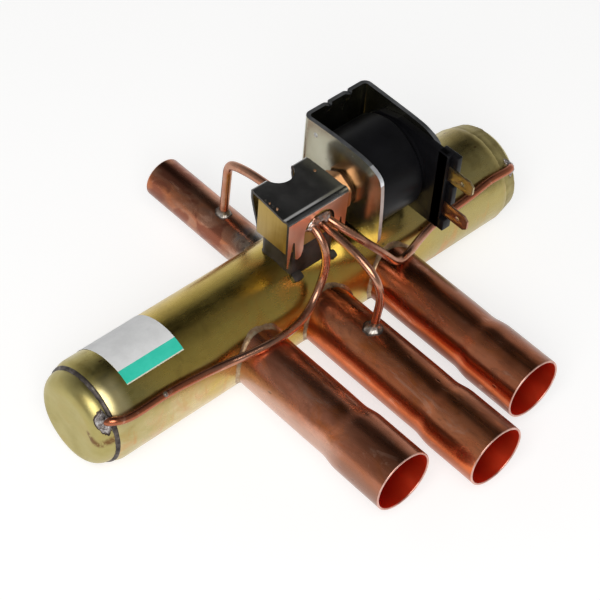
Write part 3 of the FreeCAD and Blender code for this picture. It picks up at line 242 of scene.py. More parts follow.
def copper(name, dark=0.5, tint=1.0, seed=0.0, axis="Y", under=0.0, root=0.0, streak=0.75, pale=0.0, gain=(1, 1, 1), pink=0.0, far_side_shade=0.0, blotch=0.0, ends=0.0, belly_shade=None, smudge=0.0):
    m = Mat(name)
    sc = {"Y": (1.0, 0.42, 1.0), "X": (0.4, 1, 1), "N": (1, 1, 1)}[axis]
    off = m.t.nodes.new("ShaderNodeMapping")
    off.inputs["Location"].default_value = (seed, seed * 0.7, seed * 1.3)
    off.inputs["Scale"].default_value = sc
    m.link(m.co, off.inputs["Vector"])
    v = off.outputs[0]
    big = m.noise(75, 5, 0.62, v, 0.5)
    k = tint
    kr, kg, kb = k * gain[0], k * gain[1], k * gain[2]
    c = m.ramp(big, [(0.30, (0.52 * kr, 0.20 * kg, 0.11 * kb)), (0.45, (0.68 * kr, 0.29 * kg, 0.165 * kb)),
                     (0.57, (0.76 * kr, 0.36 * kg, 0.22 * kb)), (0.72, (0.80 * kr, 0.42 * kg, 0.29 * kb))])
    if pale:
        c = m.mix(pale, c, (0.62 * k, 0.40 * k, 0.31 * k))
    orange = m.ramp(m.noise(105, 4, 0.6, v, 1.1), [(0.52, 0.0), (0.66, streak)])
    c = m.mix(orange, c, (0.70, 0.20, 0.055))
    if blotch:
        stain = m.ramp(m.noise(88, 3, 0.5, m.map((1, 0.9, 1)), 0.6), [(0.50, 0.0), (0.57, blotch)])
        c = m.mix(stain, c, (0.26, 0.085, 0.05))
    soot = m.ramp(m.noise(58, 6, 0.68, v, 0.7), [(0.50, 0.0), (0.68, dark)])
    c = m.mix(soot, c, (0.16, 0.06, 0.035))
    fine = m.ramp(m.noise(420, 4, 0.7, v, 0.4), [(0.54, 0.0), (0.72, 0.45)])
    c = m.mix(fine, c, (0.30, 0.12, 0.07))
    pits = m.ramp(m.voronoi(240, v), [(0.0, 1.0), (0.07, 1.0), (0.12, 0.0)])
    few = m.ramp(m.noise(47, 2, 0.5, v), [(0.58, 0.0), (0.63, 0.85)])
    pit = m.math("MULTIPLY", pits, few)
    c = m.mix(pit, c, (0.07, 0.03, 0.02))
    x, y, z = m.sep()
    # painted shade: the lower side turns a deeper saturated orange, and the belly below it is painted darker still
    if under:
        wob = m.math("MULTIPLY", m.math("SUBTRACT", m.noise(60, 3, 0.6, v), 0.5), 0.012)
        low = m.range(m.math("ADD", z, wob), 0.0052, -0.0020, 0.0, under)
        c = m.mix(m.math("MULTIPLY", low, 1.0, clamp=True), c, (0.80, 0.135, 0.008))
        belly_shade_mask = m.range(m.math("ADD", z, m.math("MULTIPLY", wob, 0.5)), 0.0012, -0.0008, 0.0, 0.93)
        c = m.mix(m.math("MULTIPLY", belly_shade_mask, 1.0, clamp=True), c, belly_shade)
    # painted reflection and shade on the lower side: paler pink towards the mouth, dull brown nearer the body
    if pink:
        wob = m.math("MULTIPLY", m.math("SUBTRACT", m.noise(60, 3, 0.6, v), 0.5), 0.010)
        low = m.range(m.math("ADD", z, wob), 0.0060, 0.0010, 0.0, pink)
        mouthward = m.range(y, -0.060, -0.072, 0.0, 1.0)
        blush = m.mix(m.math("MULTIPLY", mouthward, 1.0, clamp=True), (0.60, 0.40, 0.32), (0.30, 0.165, 0.12))
        tip = m.range(m.math("ADD", y, wob), -0.0670, -0.0770, 0.0, 0.55)
        c = m.mix(m.math("MULTIPLY", tip, 1.0, clamp=True), c, (0.26, 0.085, 0.04))
        c = m.mix(m.math("MULTIPLY", low, 1.0, clamp=True), c, blush)
    # darker brown blotches on the upper side only
    if smudge:
        top_dark_blotches = m.ramp(m.noise(40, 4, 0.55, m.map((1, 0.6, 1)), 0.5), [(0.50, 0.0), (0.58, smudge)])
        c = m.mix(m.math("MULTIPLY", top_dark_blotches, m.range(z, 0.0045, 0.0085, 0.0, 1.0), clamp=True), c, (0.24, 0.080, 0.038))
    # painted shade: the socket's far (+x) side is painted darker
    if far_side_shade:
        far_side_shade_mask = m.math("MULTIPLY", m.range(x, 0.0320, 0.0375, 0.0, far_side_shade), 1.0, clamp=True)
        c = m.mix(far_side_shade_mask, c, (0.20, 0.095, 0.06))
    if ends:
        out = m.math("MULTIPLY", m.range(m.math("ABSOLUTE", x), 0.040, 0.066, 0.0, ends), 1.0, clamp=True)
        c = m.mix(out, c, (0.42, 0.125, 0.058))
    if root:
        flux = m.ramp(m.noise(150, 5, 0.68, None, 0.8), [(0.40, (0.16, 0.15, 0.13)), (0.52, (0.52, 0.44, 0.34)), (0.64, (0.30, 0.34, 0.36))])
        edge = m.math("MULTIPLY", m.math("SUBTRACT", m.noise(120, 4, 0.6), 0.5), 0.016)
        near = m.range(m.math("ADD", y, edge), 0.0205, 0.0285, root, 0.0)
        c = m.mix(m.math("MULTIPLY", near, 1.0, clamp=True), c, flux)
    worn = m.ramp(m.noise(130, 6, 0.72, m.map((1, 0.35, 1), (0.0, 0.0, 0.25)), 1.4), [(0.58, 0.0), (0.66, 0.38)])
    c = m.mix(worn, c, (0.80, 0.46, 0.33))
    fleck = m.ramp(m.voronoi(210, v), [(0.0, 1.0), (0.035, 1.0), (0.055, 0.0)])
    rare = m.ramp(m.noise(31, 2, 0.5, v), [(0.56, 0.0), (0.60, 1.0)])
    c = m.mix(m.math("MULTIPLY", fleck, rare), c, (0.85, 0.70, 0.60))
    draw = m.noise(700, 4, 0.6, m.map((1, 0.06, 1) if axis == "Y" else (0.6, 0.6, 0.6)))
    r = m.math("ADD", m.range(big, 0.3, 0.7, 0.30, 0.20), m.range(draw, 0.3, 0.7, -0.02, 0.03))
    r = m.math("ADD", r, m.math("MULTIPLY", soot, 0.14))
    nrm = m.bump(draw, 0.05, 0.00005)
    nrm = m.bump(m.math("SUBTRACT", m.noise(85, 4, 0.5, v), m.math("MULTIPLY", pit, 0.6)), 0.30, 0.0004, nrm)
    return m.done(c, 1.0, r, nrm)


def copper_inside(name="copper_stub_inside", mouth=-0.0712):
    m = Mat(name)
    v = m.map((1, 0.4, 1))
    n1 = m.noise(120, 4, 0.6, v)
    c = m.ramp(n1, [(0.3, (0.54, 0.008, 0.003)), (0.6, (0.76, 0.026, 0.008)), (0.75, (0.88, 0.075, 0.026))])
    x, y, z = m.sep()
    # painted light: the bore is painted brighter red near the mouth and stays darker deeper in, as light falling off
    # inside the tube
    mouth_light_falloff = m.math("ADD", m.math("ABSOLUTE", m.math("ADD", y, mouth)), m.math("MULTIPLY", m.math("SUBTRACT", n1, 0.5), 0.010))
    c = m.mix(m.range(mouth_light_falloff, 0.0115, 0.0015, 0.0, 0.85), c, (0.96, 0.105, 0.035))
    scr = m.noise(900, 3, 0.6, m.map((1, 0.05, 1)))
    return m.done(c, 0.90, m.range(n1, 0.3, 0.7, 0.42, 0.30), m.bump(scr, 0.12, 0.00006), spec=0.2)


def copper_rim():
    m = Mat("copper_rim")
    n1 = m.noise(300, 4, 0.6)
    c = m.ramp(n1, [(0.3, (0.50, 0.24, 0.18)), (0.65, (0.80, 0.50, 0.42))])
    return m.done(c, 0.8, m.range(n1, 0.3, 0.7, 0.30, 0.45), m.bump(m.noise(1400, 2), 0.25, 0.00008))


def braze_mat():
    m = Mat("braze_alloy")
    n1 = m.noise(240, 5, 0.65)
    c = m.ramp(n1, [(0.32, (0.13, 0.10, 0.07)), (0.50, (0.40, 0.26, 0.15)), (0.68, (0.56, 0.48, 0.33))])
    return m.done(c, 1.0, m.range(n1, 0.3, 0.7, 0.55, 0.34), m.bump(m.noise(420, 4, 0.6), 0.5, 0.0003))


def seam_mat():
    m = Mat("seam_solder_dark")
    n1 = m.noise(260, 5, 0.7)
    c = m.ramp(n1, [(0.35, (0.045, 0.038, 0.035)), (0.58, (0.13, 0.11, 0.10)), (0.75, (0.34, 0.32, 0.29))])
    return m.done(c, 0.85, m.range(n1, 0.3, 0.7, 0.62, 0.42), m.bump(m.noise(520, 4, 0.6), 0.6, 0.0003))


def silver_mat():
    m = Mat("solder_silver")
    n1 = m.noise(330, 5, 0.65, None, 0.4)
    c = m.ramp(n1, [(0.34, (0.08, 0.06, 0.05)), (0.46, (0.22, 0.18, 0.15)), (0.62, (0.50, 0.475, 0.44))])
    return m.done(c, 1.0, m.range(n1, 0.3, 0.7, 0.55, 0.30), m.bump(m.noise(620, 4, 0.6), 0.6, 0.0003))


def mixed_solder():
    m = Mat("solder_over_copper")
    n1 = m.noise(300, 5, 0.68, None, 0.5)
    c = m.ramp(n1, [(0.36, (0.10, 0.05, 0.035)), (0.47, (0.44, 0.21, 0.14)), (0.56, (0.34, 0.27, 0.24)), (0.66, (0.74, 0.72, 0.70))])
    return m.done(c, 1.0, m.range(n1, 0.3, 0.7, 0.40, 0.18), m.bump(m.noise(520, 4, 0.6), 0.8, 0.0005))


def grey_solder():
    m = Mat("solder_grey_mottled")
    n1 = m.noise(460, 6, 0.7, None, 0.6)
    c = m.ramp(n1, [(0.36, (0.050, 0.040, 0.038)), (0.48, (0.27, 0.235, 0.225)), (0.62, (0.62, 0.60, 0.59))])
    return m.done(c, 0.9, m.range(n1, 0.3, 0.7, 0.60, 0.32), m.bump(m.noise(800, 5, 0.65), 0.8, 0.0004))


def black_steel():
    m = Mat("black_steel")
    n1 = m.noise(180, 5, 0.6)
    c = m.ramp(n1, [(0.35, (0.018, 0.016, 0.015)), (0.62, (0.060, 0.050, 0.045)), (0.8, (0.11, 0.09, 0.07))])
    return m.done(c, 0.6, m.range(n1, 0.3, 0.7, 0.34, 0.52), m.bump(m.noise(500, 3), 0.3, 0.00012))


def plated(name, lo, hi, rough):
    m = Mat(name)
    n1 = m.noise(95, 4, 0.6, m.map((1, 1, 0.5)))
    c = m.ramp(n1, [(0.32, lo), (0.68, hi)])
    scr = m.noise(1300, 2, 0.6, m.map((0.06, 1, 1), (0.4, 0.3, 0.5)))
    x, y, z = m.sep()
    smudge = m.ramp(m.noise(260, 5, 0.7), [(0.54, 0.0), (0.72, 1.0)])
    r = m.math("ADD", m.range(n1, 0.3, 0.7, rough, rough + 0.07), m.math("MULTIPLY", smudge, 0.05))
    nrm = m.bump(scr, 0.05, 0.00004)
    nrm = m.bump(m.noise(60, 2, 0.5), 0.16, 0.0004, nrm)
    return m.done(c, 1.0, r, nrm)


def steel(name, lo=(0.42, 0.42, 0.41), hi=(0.68, 0.68, 0.67), rough=0.3):
    m = Mat(name)
    n1 = m.noise(220, 4, 0.6)
    c = m.ramp(n1, [(0.32, lo), (0.68, hi)])
    turn = m.noise(1500, 2, 0.5, m.map((1, 0.1, 0.1)))
    return m.done(c, 1.0, m.range(n1, 0.3, 0.7, rough, rough + 0.12), m.bump(turn, 0.15, 0.00006))


def coil_black():
    m = Mat("moulded_black")
    n1 = m.noise(75, 4, 0.6)
    c = m.ramp(n1, [(0.35, (0.0028, 0.0028, 0.0034)), (0.7, (0.0065, 0.0065, 0.008))])
    dust = m.ramp(m.noise(340, 5, 0.7), [(0.60, 0.0), (0.80, 0.25)])
    c = m.mix(dust, c, (0.018, 0.018, 0.020))
    r = m.math("ADD", m.range(n1, 0.3, 0.7, 0.34, 0.44), m.math("MULTIPLY", dust, 0.25))
    nrm = m.bump(m.noise(2600, 2, 0.5), 0.10, 0.00004)
    nrm = m.bump(m.noise(90, 3, 0.5), 0.16, 0.0004, nrm)
    return m.done(c, 0.0, r, nrm, spec=0.13)


def terminal(name, lo, hi, rough=0.20):
    m = Mat(name)
    n1 = m.noise(260, 4, 0.6)
    c = m.ramp(n1, [(0.35, lo), (0.65, hi)])
    spot = m.ramp(m.noise(650, 4, 0.7), [(0.60, 0.0), (0.72, 0.7)])
    c = m.mix(spot, c, (0.16, 0.09, 0.04))
    return m.done(c, 1.0, m.range(n1, 0.3, 0.7, rough, rough + 0.14), m.bump(m.noise(1800, 2, 0.5, m.map((1, 0.1, 1))), 0.12, 0.00005))


def label_mat():
    m = Mat("label_film")
    x, y, z = m.sep()
    n1 = m.noise(150, 5, 0.65)
    white = m.ramp(n1, [(0.35, (0.76, 0.77, 0.78)), (0.65, (0.86, 0.87, 0.88))])
    smear = m.ramp(m.noise(420, 5, 0.7, m.map((0.5, 1, 1))), [(0.60, 0.0), (0.76, 0.30)])
    white = m.mix(smear, white, (0.55, 0.57, 0.58))
    teal = m.ramp(n1, [(0.35, (0.03, 0.62, 0.45)), (0.65, (0.055, 0.70, 0.53))])
    band = m.math("LESS_THAN", m.math("ADD", y, m.math("MULTIPLY", m.noise(300, 2), 0.00008)), -0.00492)
    c = m.mix(band, white, teal)
    edge = m.math("LESS_THAN", y, -0.00966)
    c = m.mix(edge, c, (0.76, 0.74, 0.60))
    return m.done(c, 0.0, m.range(n1, 0.3, 0.7, 0.42, 0.55), m.bump(m.noise(260, 4, 0.6), 0.12, 0.00015), spec=0.4)


def plastic(name, lo, hi, rough=0.5):
    m = Mat(name)
    n1 = m.noise(200, 4, 0.6)
    return m.done(m.ramp(n1, [(0.35, lo), (0.65, hi)]), 0.0, m.range(n1, 0.3, 0.7, rough, rough + 0.12), m.bump(m.noise(1500, 3), 0.15, 0.00008))


MATS = {
    "brass": brass_body(), "cap": brass_cap(), "block": brass_block(),
    "brass_in": steel("brass_machined", (0.52, 0.38, 0.15), (0.68, 0.54, 0.26), 0.28),
    "cu_left": copper("copper_left", 0.72, 0.94, 0.31, gain=(1.04, 0.92, 0.92), pink=0.85, smudge=0.45), "cu_mid": copper("copper_mid", 0.85, 0.94, 0.77, under=0.9, gain=(1.10, 0.82, 0.62), streak=0.90, belly_shade=(0.44, 0.13, 0.055), smudge=0.62),
    "cu_right": copper("copper_right", 0.80, 0.84, 1.23, under=0.9, gain=(1.08, 0.78, 0.62), far_side_shade=0.80, belly_shade=(0.19, 0.040, 0.010), smudge=0.45), "cu_disch": copper("copper_disch", 0.66, 0.60, 0.13, root=0.85, streak=0.45, gain=(0.94, 0.96, 1.0), blotch=0.90),
    "cu_cap": copper("copper_capillary_skin", 0.70, 0.68, 0.5, "N", streak=0.30, pale=0.30, ends=0.85),
    "cu_in": copper_inside(), "cu_in_side": copper_inside("copper_socket_inside_side", 0.0895), "cu_in_mid": copper_inside("copper_socket_inside_mid", 0.102), "rim": copper_rim(), "braze": braze_mat(), "seam": seam_mat(), "silver": silver_mat(), "mixed": mixed_solder(), "grey": grey_solder(),
    "black": black_steel(), "plate": plated("plated_smoky", (0.36, 0.355, 0.345), (0.50, 0.49, 0.475), 0.17),
    # painted reflection: the bracket's front fold, part of the same plated blank, is tinted copper-pink and lightened
    # for the copper tubes it mirrors
    "flange": plated("plated_painted_copper_reflection", (0.88, 0.56, 0.41), (0.96, 0.68, 0.55), 0.26),
    "yoke": plated("plated_bright", (0.41, 0.40, 0.30), (0.53, 0.515, 0.41), 0.19),
    "cut": steel("cut_edge_smoky", (0.19, 0.195, 0.20), (0.33, 0.335, 0.35), 0.36),
    "line": steel("edge_shadow_line", (0.030, 0.032, 0.038), (0.075, 0.08, 0.09), 0.40),
    # painted shade: a darker copy of the bracket plating for its front bend
    "bend": plated("plated_bend_painted_shade", (0.10, 0.10, 0.098), (0.17, 0.168, 0.165), 0.22),
    "ring_dark": terminal("collar_shadow_skin", (0.10, 0.045, 0.02), (0.20, 0.10, 0.05), 0.5),
    # painted highlights for the yoke's bevels: bright lines on the top bevels, a glint on the left arm's front corner,
    # and a rosy painted reflection on its front edge
    "edge": steel("painted_highlight_edge", (0.55, 0.55, 0.56), (0.80, 0.80, 0.80), 0.3),
    "edge_glint": steel("painted_glint_edge", (0.78, 0.80, 0.84), (0.95, 0.96, 0.98), 0.42),
    "edge_rosy": steel("painted_rosy_reflection_edge", (0.40, 0.33, 0.30), (0.58, 0.49, 0.45), 0.40),
    "collar": terminal("copper_collar_skin", (0.58, 0.285, 0.145), (0.74, 0.41, 0.235), 0.36), "seam2": steel("seam_brazed_brass", (0.27, 0.215, 0.08), (0.44, 0.37, 0.15), 0.42),
    "halo": steel("heat_halo", (0.030, 0.020, 0.016), (0.13, 0.10, 0.085), 0.5),
    "steel": steel("turned_steel"), "inner": steel("stamped_steel", (0.4, 0.4, 0.39), (0.6, 0.6, 0.59), 0.35),
    "coil": coil_black(), "blade1": terminal("blade_gold", (0.36, 0.28, 0.14), (0.50, 0.41, 0.24), 0.30),
    "blade2": terminal("blade_coppery", (0.40, 0.20, 0.12), (0.54, 0.30, 0.20), 0.30),
    "label": label_mat(), "nylon": plastic("nylon_ivory", (0.62, 0.60, 0.50), (0.74, 0.72, 0.62)),
    "seal": plastic("seal_black", (0.012, 0.012, 0.012), (0.03, 0.03, 0.03), 0.6),
    "wire": terminal("winding_enamel", (0.34, 0.12, 0.05), (0.52, 0.22, 0.10)),
}


# ------------------------------------------------------------------ mesh tools
def n3(x, y, z):
    return noise.noise(Vector((x, y, z)))


def make(name, verts, faces, mats, body, replaces=(), face_mat=None, angle=34, fix=True):
    me = bpy.data.meshes.new(name)
    me.from_pydata([tuple(c * MM for c in v) for v in verts], [], faces)
    me.validate()
    mats = mats if isinstance(mats, (list, tuple)) else [mats]
    for k in mats:
        me.materials.append(MATS[k])
    if face_mat:
        for p, k in zip(me.polygons, face_mat):
            p.material_index = k
    finish_mesh(me, angle, fix)
    ob = bpy.data.objects.new(name, me)
    bpy.context.scene.collection.objects.link(ob)
    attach(ob, body)
    if replaces:
        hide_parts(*replaces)
    return ob


def finish_mesh(me, angle=34, fix=True):
    bm = bmesh.new()
    bm.from_mesh(me)
    bmesh.ops.remove_doubles(bm, verts=bm.verts, dist=1e-6)
    bmesh.ops.dissolve_degenerate(bm, edges=bm.edges, dist=1e-7)
    if fix:
        bmesh.ops.recalc_face_normals(bm, faces=bm.faces)
    lim = math.radians(angle)
    for f in bm.faces:
        f.smooth = True
    for e in bm.edges:
        e.smooth = not (len(e.link_faces) == 2 and e.calc_face_angle(0) > lim)
    bm.to_mesh(me)
    bm.free()


def rounded(pts, radii, n=5, closed=True):
    """Outline with its corners rounded."""
    out = []
    N = len(pts)
    for i in range(N):
        r = radii[i] if isinstance(radii, (list, tuple)) else radii
        if not closed and i in (0, N - 1):
            out.append(tuple(pts[i]))
            continue
        p, a, b = Vector(pts[i]), Vector(pts[i - 1]), Vector(pts[(i + 1) % N])
        if r <= 0:
            out.append(tuple(p))
            continue
        u, w = (a - p), (b - p)
        lu, lw = u.length, w.length
        if lu < 1e-9 or lw < 1e-9:
            out.append(tuple(p))
            continue
        u, w = u / lu, w / lw
        th = math.acos(max(-1, min(1, u.dot(w))))
        if th > pi - 0.03:
            out.append(tuple(p))
            continue
        t = min(r / math.tan(th / 2), 0.48 * min(lu, lw))
        r = t * math.tan(th / 2)
        c = p + (u + w).normalized() * (r / sin(th / 2))
        s, e = p + u * t - c, p + w * t - c
        tot = s.angle(e)
        for k in range(n + 1):
            f = k / n
            q = (s * sin((1 - f) * tot) + e * sin(f * tot)) / sin(tot)
            out.append(tuple(c + q))
    return out


def densify(pts, step, closed=True):
    out = []
    N = len(pts)
    for i in range(N if closed else N - 1):
        a, b = Vector(pts[i]), Vector(pts[(i + 1) % N])
        k = max(1, int(math.ceil((b - a).length / step)))
        for j in range(k):
            out.append(tuple(a.lerp(b, j / k)))
    if not closed:
        out.append(tuple(pts[-1]))
    return out


def lathe(profile, axis="X", at=(0, 0, 0), segs=160, wob=None):
    """Closed profile of (along, radius) turned about an axis; points on the axis become poles."""
    verts, faces, rings = [], [], []
    for a, r in profile:
        if r < 1e-6:
            rings.append([len(verts)])
            verts.append((a, 0.0, 0.0))
        else:
            ring = []
            for k in range(segs):
                ph = 2 * pi * k / segs
                aa, rr = wob(a, r, ph) if wob else (a, r)
                ring.append(len(verts))
                verts.append((aa, rr * cos(ph), rr * sin(ph)))
            rings.append(ring)
    src = []
    N = len(rings)
    for i in range(N):
        A, B = rings[i], rings[(i + 1) % N]
        if len(A) == 1 and len(B) == 1:
            continue
        for k in range(segs):
            j = (k + 1) % segs
            if len(A) == 1:
                faces.append((A[0], B[k], B[j]))
            elif len(B) == 1:
                faces.append((A[k], B[0], A[j]))
            else:
                faces.append((A[k], B[k], B[j], A[j]))
            src.append(i)
    if axis == "X":
        out = [(v[0] + at[0], v[1] + at[1], v[2] + at[2]) for v in verts]
    elif axis == "Y":
        out = [(v[1] + at[0], v[0] + at[1], v[2] + at[2]) for v in verts]
    else:
        out = [(v[1] + at[0], v[2] + at[1], v[0] + at[2]) for v in verts]
    return out, faces, src


def spline(points, per=9):
    """Smooth line through the middles of the runs, straight at both ends."""
    P = [Vector(p) for p in points]
    out = [P[0]]
    for i in range(1, len(P) - 1):
        a = P[i - 1].lerp(P[i], 0.5) if i > 1 else P[0].lerp(P[1], 0.35)
        b = P[i].lerp(P[i + 1], 0.5) if i < len(P) - 2 else P[i].lerp(P[i + 1], 0.65)
        for k in range(per + 1):
            t = k / per
            q = a * (1 - t) ** 2 + P[i] * 2 * t * (1 - t) + b * t ** 2
            if (q - out[-1]).length > 0.05:
                out.append(q)
    out.append(P[-1])
    return out


def sweep(path, radius, segs=24, squash=None):
    verts, faces = [], []
    n = len(path)
    tan = [(path[min(i + 1, n - 1)] - path[max(i - 1, 0)]).normalized() for i in range(n)]
    nrm = tan[0].orthogonal().normalized()
    for i in range(n):
        nrm = (nrm - tan[i] * nrm.dot(tan[i])).normalized()
        bi = tan[i].cross(nrm)
        r = radius(i / (n - 1), path[i]) if callable(radius) else radius
        for k in range(segs):
            ph = 2 * pi * k / segs
            verts.append(tuple(path[i] + (nrm * cos(ph) + bi * sin(ph)) * r))
    for i in range(n - 1):
        for k in range(segs):
            j = (k + 1) % segs
            faces.append((i * segs + k, i * segs + j, (i + 1) * segs + j, (i + 1) * segs + k))
    faces.append(tuple(range(segs)))
    faces.append(tuple(range((n - 1) * segs, n * segs)))
    return verts, faces


def flat_mesh(outline, holes=()):
    """Filled flat pattern in its own plane, from an outline and holes, as (verts, faces)."""
    cu = bpy.data.curves.new("flat_pattern", "CURVE")
    cu.dimensions = "2D"
    cu.fill_mode = "BOTH"
    for loop in [outline] + list(holes):
        s = cu.splines.new("POLY")
        s.points.add(len(loop) - 1)
        for p, q in zip(s.points, loop):
            p.co = (q[0], q[1], 0, 1)
        s.use_cyclic_u = True
    ob = bpy.data.objects.new("flat_pattern", cu)
    bpy.context.scene.collection.objects.link(ob)
    dg = bpy.context.evaluated_depsgraph_get()
    me = bpy.data.meshes.new_from_object(ob.evaluated_get(dg))
    v = [tuple(p.co) for p in me.vertices]
    f = [tuple(p.vertices) for p in me.polygons]
    bpy.data.objects.remove(ob)
    bpy.data.curves.remove(cu)
    bpy.data.meshes.remove(me)
    return v, f


def sheet(name, outline, holes, lines_u, lines_v, place, thick, bevel, mats, body, replaces=(), angle=40, seg=2, pick=None):
    """A stamped part: flat pattern cut along lines, bent by place(u, v), then given its thickness and rounded edges."""
    v, f = flat_mesh(outline, holes)
    bm = bmesh.new()
    vs = [bm.verts.new(p) for p in v]
    for q in f:
        try:
            bm.faces.new([vs[i] for i in q])
        except ValueError:
            pass
    bmesh.ops.remove_doubles(bm, verts=bm.verts, dist=1e-4)
    for pos, nrm in [((u, 0, 0), (1, 0, 0)) for u in lines_u] + [((0, w, 0), (0, 1, 0)) for w in lines_v]:
        bmesh.ops.bisect_plane(bm, geom=bm.verts[:] + bm.edges[:] + bm.faces[:], plane_co=pos, plane_no=nrm, dist=1e-5)
    bmesh.ops.recalc_face_normals(bm, faces=bm.faces)
    for q in bm.verts:
        q.co = Vector(place(q.co.x, q.co.y)) * MM
    me = bpy.data.meshes.new(name)
    bm.to_mesh(me)
    bm.free()
    mlist = mats if isinstance(mats, (list, tuple)) else [mats]
    for k in mlist:
        me.materials.append(MATS[k])
    ob = bpy.data.objects.new(name, me)
    bpy.context.scene.collection.objects.link(ob)
    so = ob.modifiers.new("thickness", "SOLIDIFY")
    so.thickness = thick * MM
    so.offset = 0.0
    so.use_even_offset = True
    so.material_offset_rim = 1 if len(mlist) > 1 else 0
    if bevel:
        bv = ob.modifiers.new("edge", "BEVEL")
        bv.width = bevel * MM
        bv.segments = seg
        bv.limit_method = "ANGLE"
        bv.angle_limit = math.radians(50)
    bake(ob, mats, angle)
    if pick:
        for q in ob.data.polygons:
            if q.material_index == 0:
                q.material_index = pick(q.center / MM)
    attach(ob, body)
    if replaces:
        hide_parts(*replaces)
    return ob


def bake(ob, mats, angle=34):
    """Applies an object's modifiers to its mesh."""
    dg = bpy.context.evaluated_depsgraph_get()
    me = bpy.data.meshes.new_from_object(ob.evaluated_get(dg))
    ob.modifiers.clear()
    old = ob.data
    ob.data = me
    me.name = ob.name
    bpy.data.meshes.remove(old)
    idx = [q.material_index for q in me.polygons]
    me.materials.clear()
    for k in (mats if isinstance(mats, (list, tuple)) else [mats]):
        me.materials.append(MATS[k])
    for q, i in zip(me.polygons, idx):
        q.material_index = i
    finish_mesh(me, angle)


def cut_with(ob, cutters, mats, angle=34):
    for i, (v, f) in enumerate(cutters):
        me = bpy.data.meshes.new("cutter")
        me.from_pydata([tuple(c * MM for c in q) for q in v], [], f)
        bm = bmesh.new()
        bm.from_mesh(me)
        bmesh.ops.recalc_face_normals(bm, faces=bm.faces)
        bm.to_mesh(me)
        bm.free()
        co = bpy.data.objects.new("cutter", me)
        bpy.context.scene.collection.objects.link(co)
        b = ob.modifiers.new("cut", "BOOLEAN")
        b.operation = "DIFFERENCE"
        b.solver = "EXACT"
        b.object = co
        bpy.context.view_layer.update()
        dg = bpy.context.evaluated_depsgraph_get()
        new = bpy.data.meshes.new_from_object(ob.evaluated_get(dg))
        ob.modifiers.clear()
        old = ob.data
        ob.data = new
        new.name = ob.name
        bpy.data.meshes.remove(old)
        bpy.data.objects.remove(co)
        bpy.data.meshes.remove(me)
    finish_mesh(ob.data, angle)
    return ob


def rod(r, p0, p1, segs=64):
    p0, p1 = Vector(p0), Vector(p1)
    return sweep([p0, p0.lerp(p1, 0.5), p1], r, segs)


def block(name, lo, hi, bevel, mats, body, replaces=(), seg=3, shape=None):
    bm = bmesh.new()
    x0, y0, z0 = lo
    x1, y1, z1 = hi
    c = [bm.verts.new(p) for p in [(x0, y0, z0), (x1, y0, z0), (x1, y1, z0), (x0, y1, z0), (x0, y0, z1), (x1, y0, z1), (x1, y1, z1), (x0, y1, z1)]]
    for q in [(0, 3, 2, 1), (4, 5, 6, 7), (0, 1, 5, 4), (1, 2, 6, 5), (2, 3, 7, 6), (3, 0, 4, 7)]:
        bm.faces.new([c[i] for i in q])
    bmesh.ops.bevel(bm, geom=bm.edges[:], offset=bevel, segments=seg, profile=0.5, affect="EDGES")
    if shape:
        bmesh.ops.subdivide_edges(bm, edges=[e for e in bm.edges if e.calc_length() > 1.5], cuts=3, use_grid_fill=True)
        for q in bm.verts:
            q.co = Vector(shape(*q.co))
    verts = [tuple(q.co) for q in bm.verts]
    bm.verts.index_update()
    faces = [tuple(q.index for q in f.verts) for f in bm.faces]
    bm.free()
    return make(name, verts, faces, mats, body, replaces)


ROOT = "valve"


# ------------------------------------------------------------------ brass body
def body_outline():
    c = []
    R = 7.2
    reach = sqrt(R * R - (R - 1.45) ** 2)
    for i in range(13):
        d = reach * i / 12
        c.append((94.4 - reach + d, BODY_R - R + sqrt(R * R - d * d)))
    return [(-x, r) for x, r in reversed(c)], [(x - 1.1, r) for x, r in c]


left_lip, right_lip = body_outline()
mid = [(x, BODY_R) for x in [-88 + i * 176 / 70 for i in range(71)]]
inner = [(x, BORE_R) for x in [93.2 - i * 187.5 / 60 for i in range(61)]]
prof = left_lip + mid + right_lip + inner


def body_wob(a, r, ph):
    k = n3(a * 0.035, 2.4 * cos(ph), 2.4 * sin(ph)) * 0.05 if r > 18 else 0.0
    return a, r + k


v, f, src = lathe(prof, "X", segs=224, wob=body_wob)
body = make("brass_tube", v, f, "brass", ROOT, ["body_tube"])
cut_with(body, [rod(11.11, (-31.5, -10, 0), (-31.5, -26, 0), 96), rod(11.11, (0, -10, 0), (0, -26, 0), 96),
                rod(11.11, (31.5, -10, 0), (31.5, -26, 0), 96), rod(7.94, (0, 10, 0), (0, 26, 0), 96)], "brass")

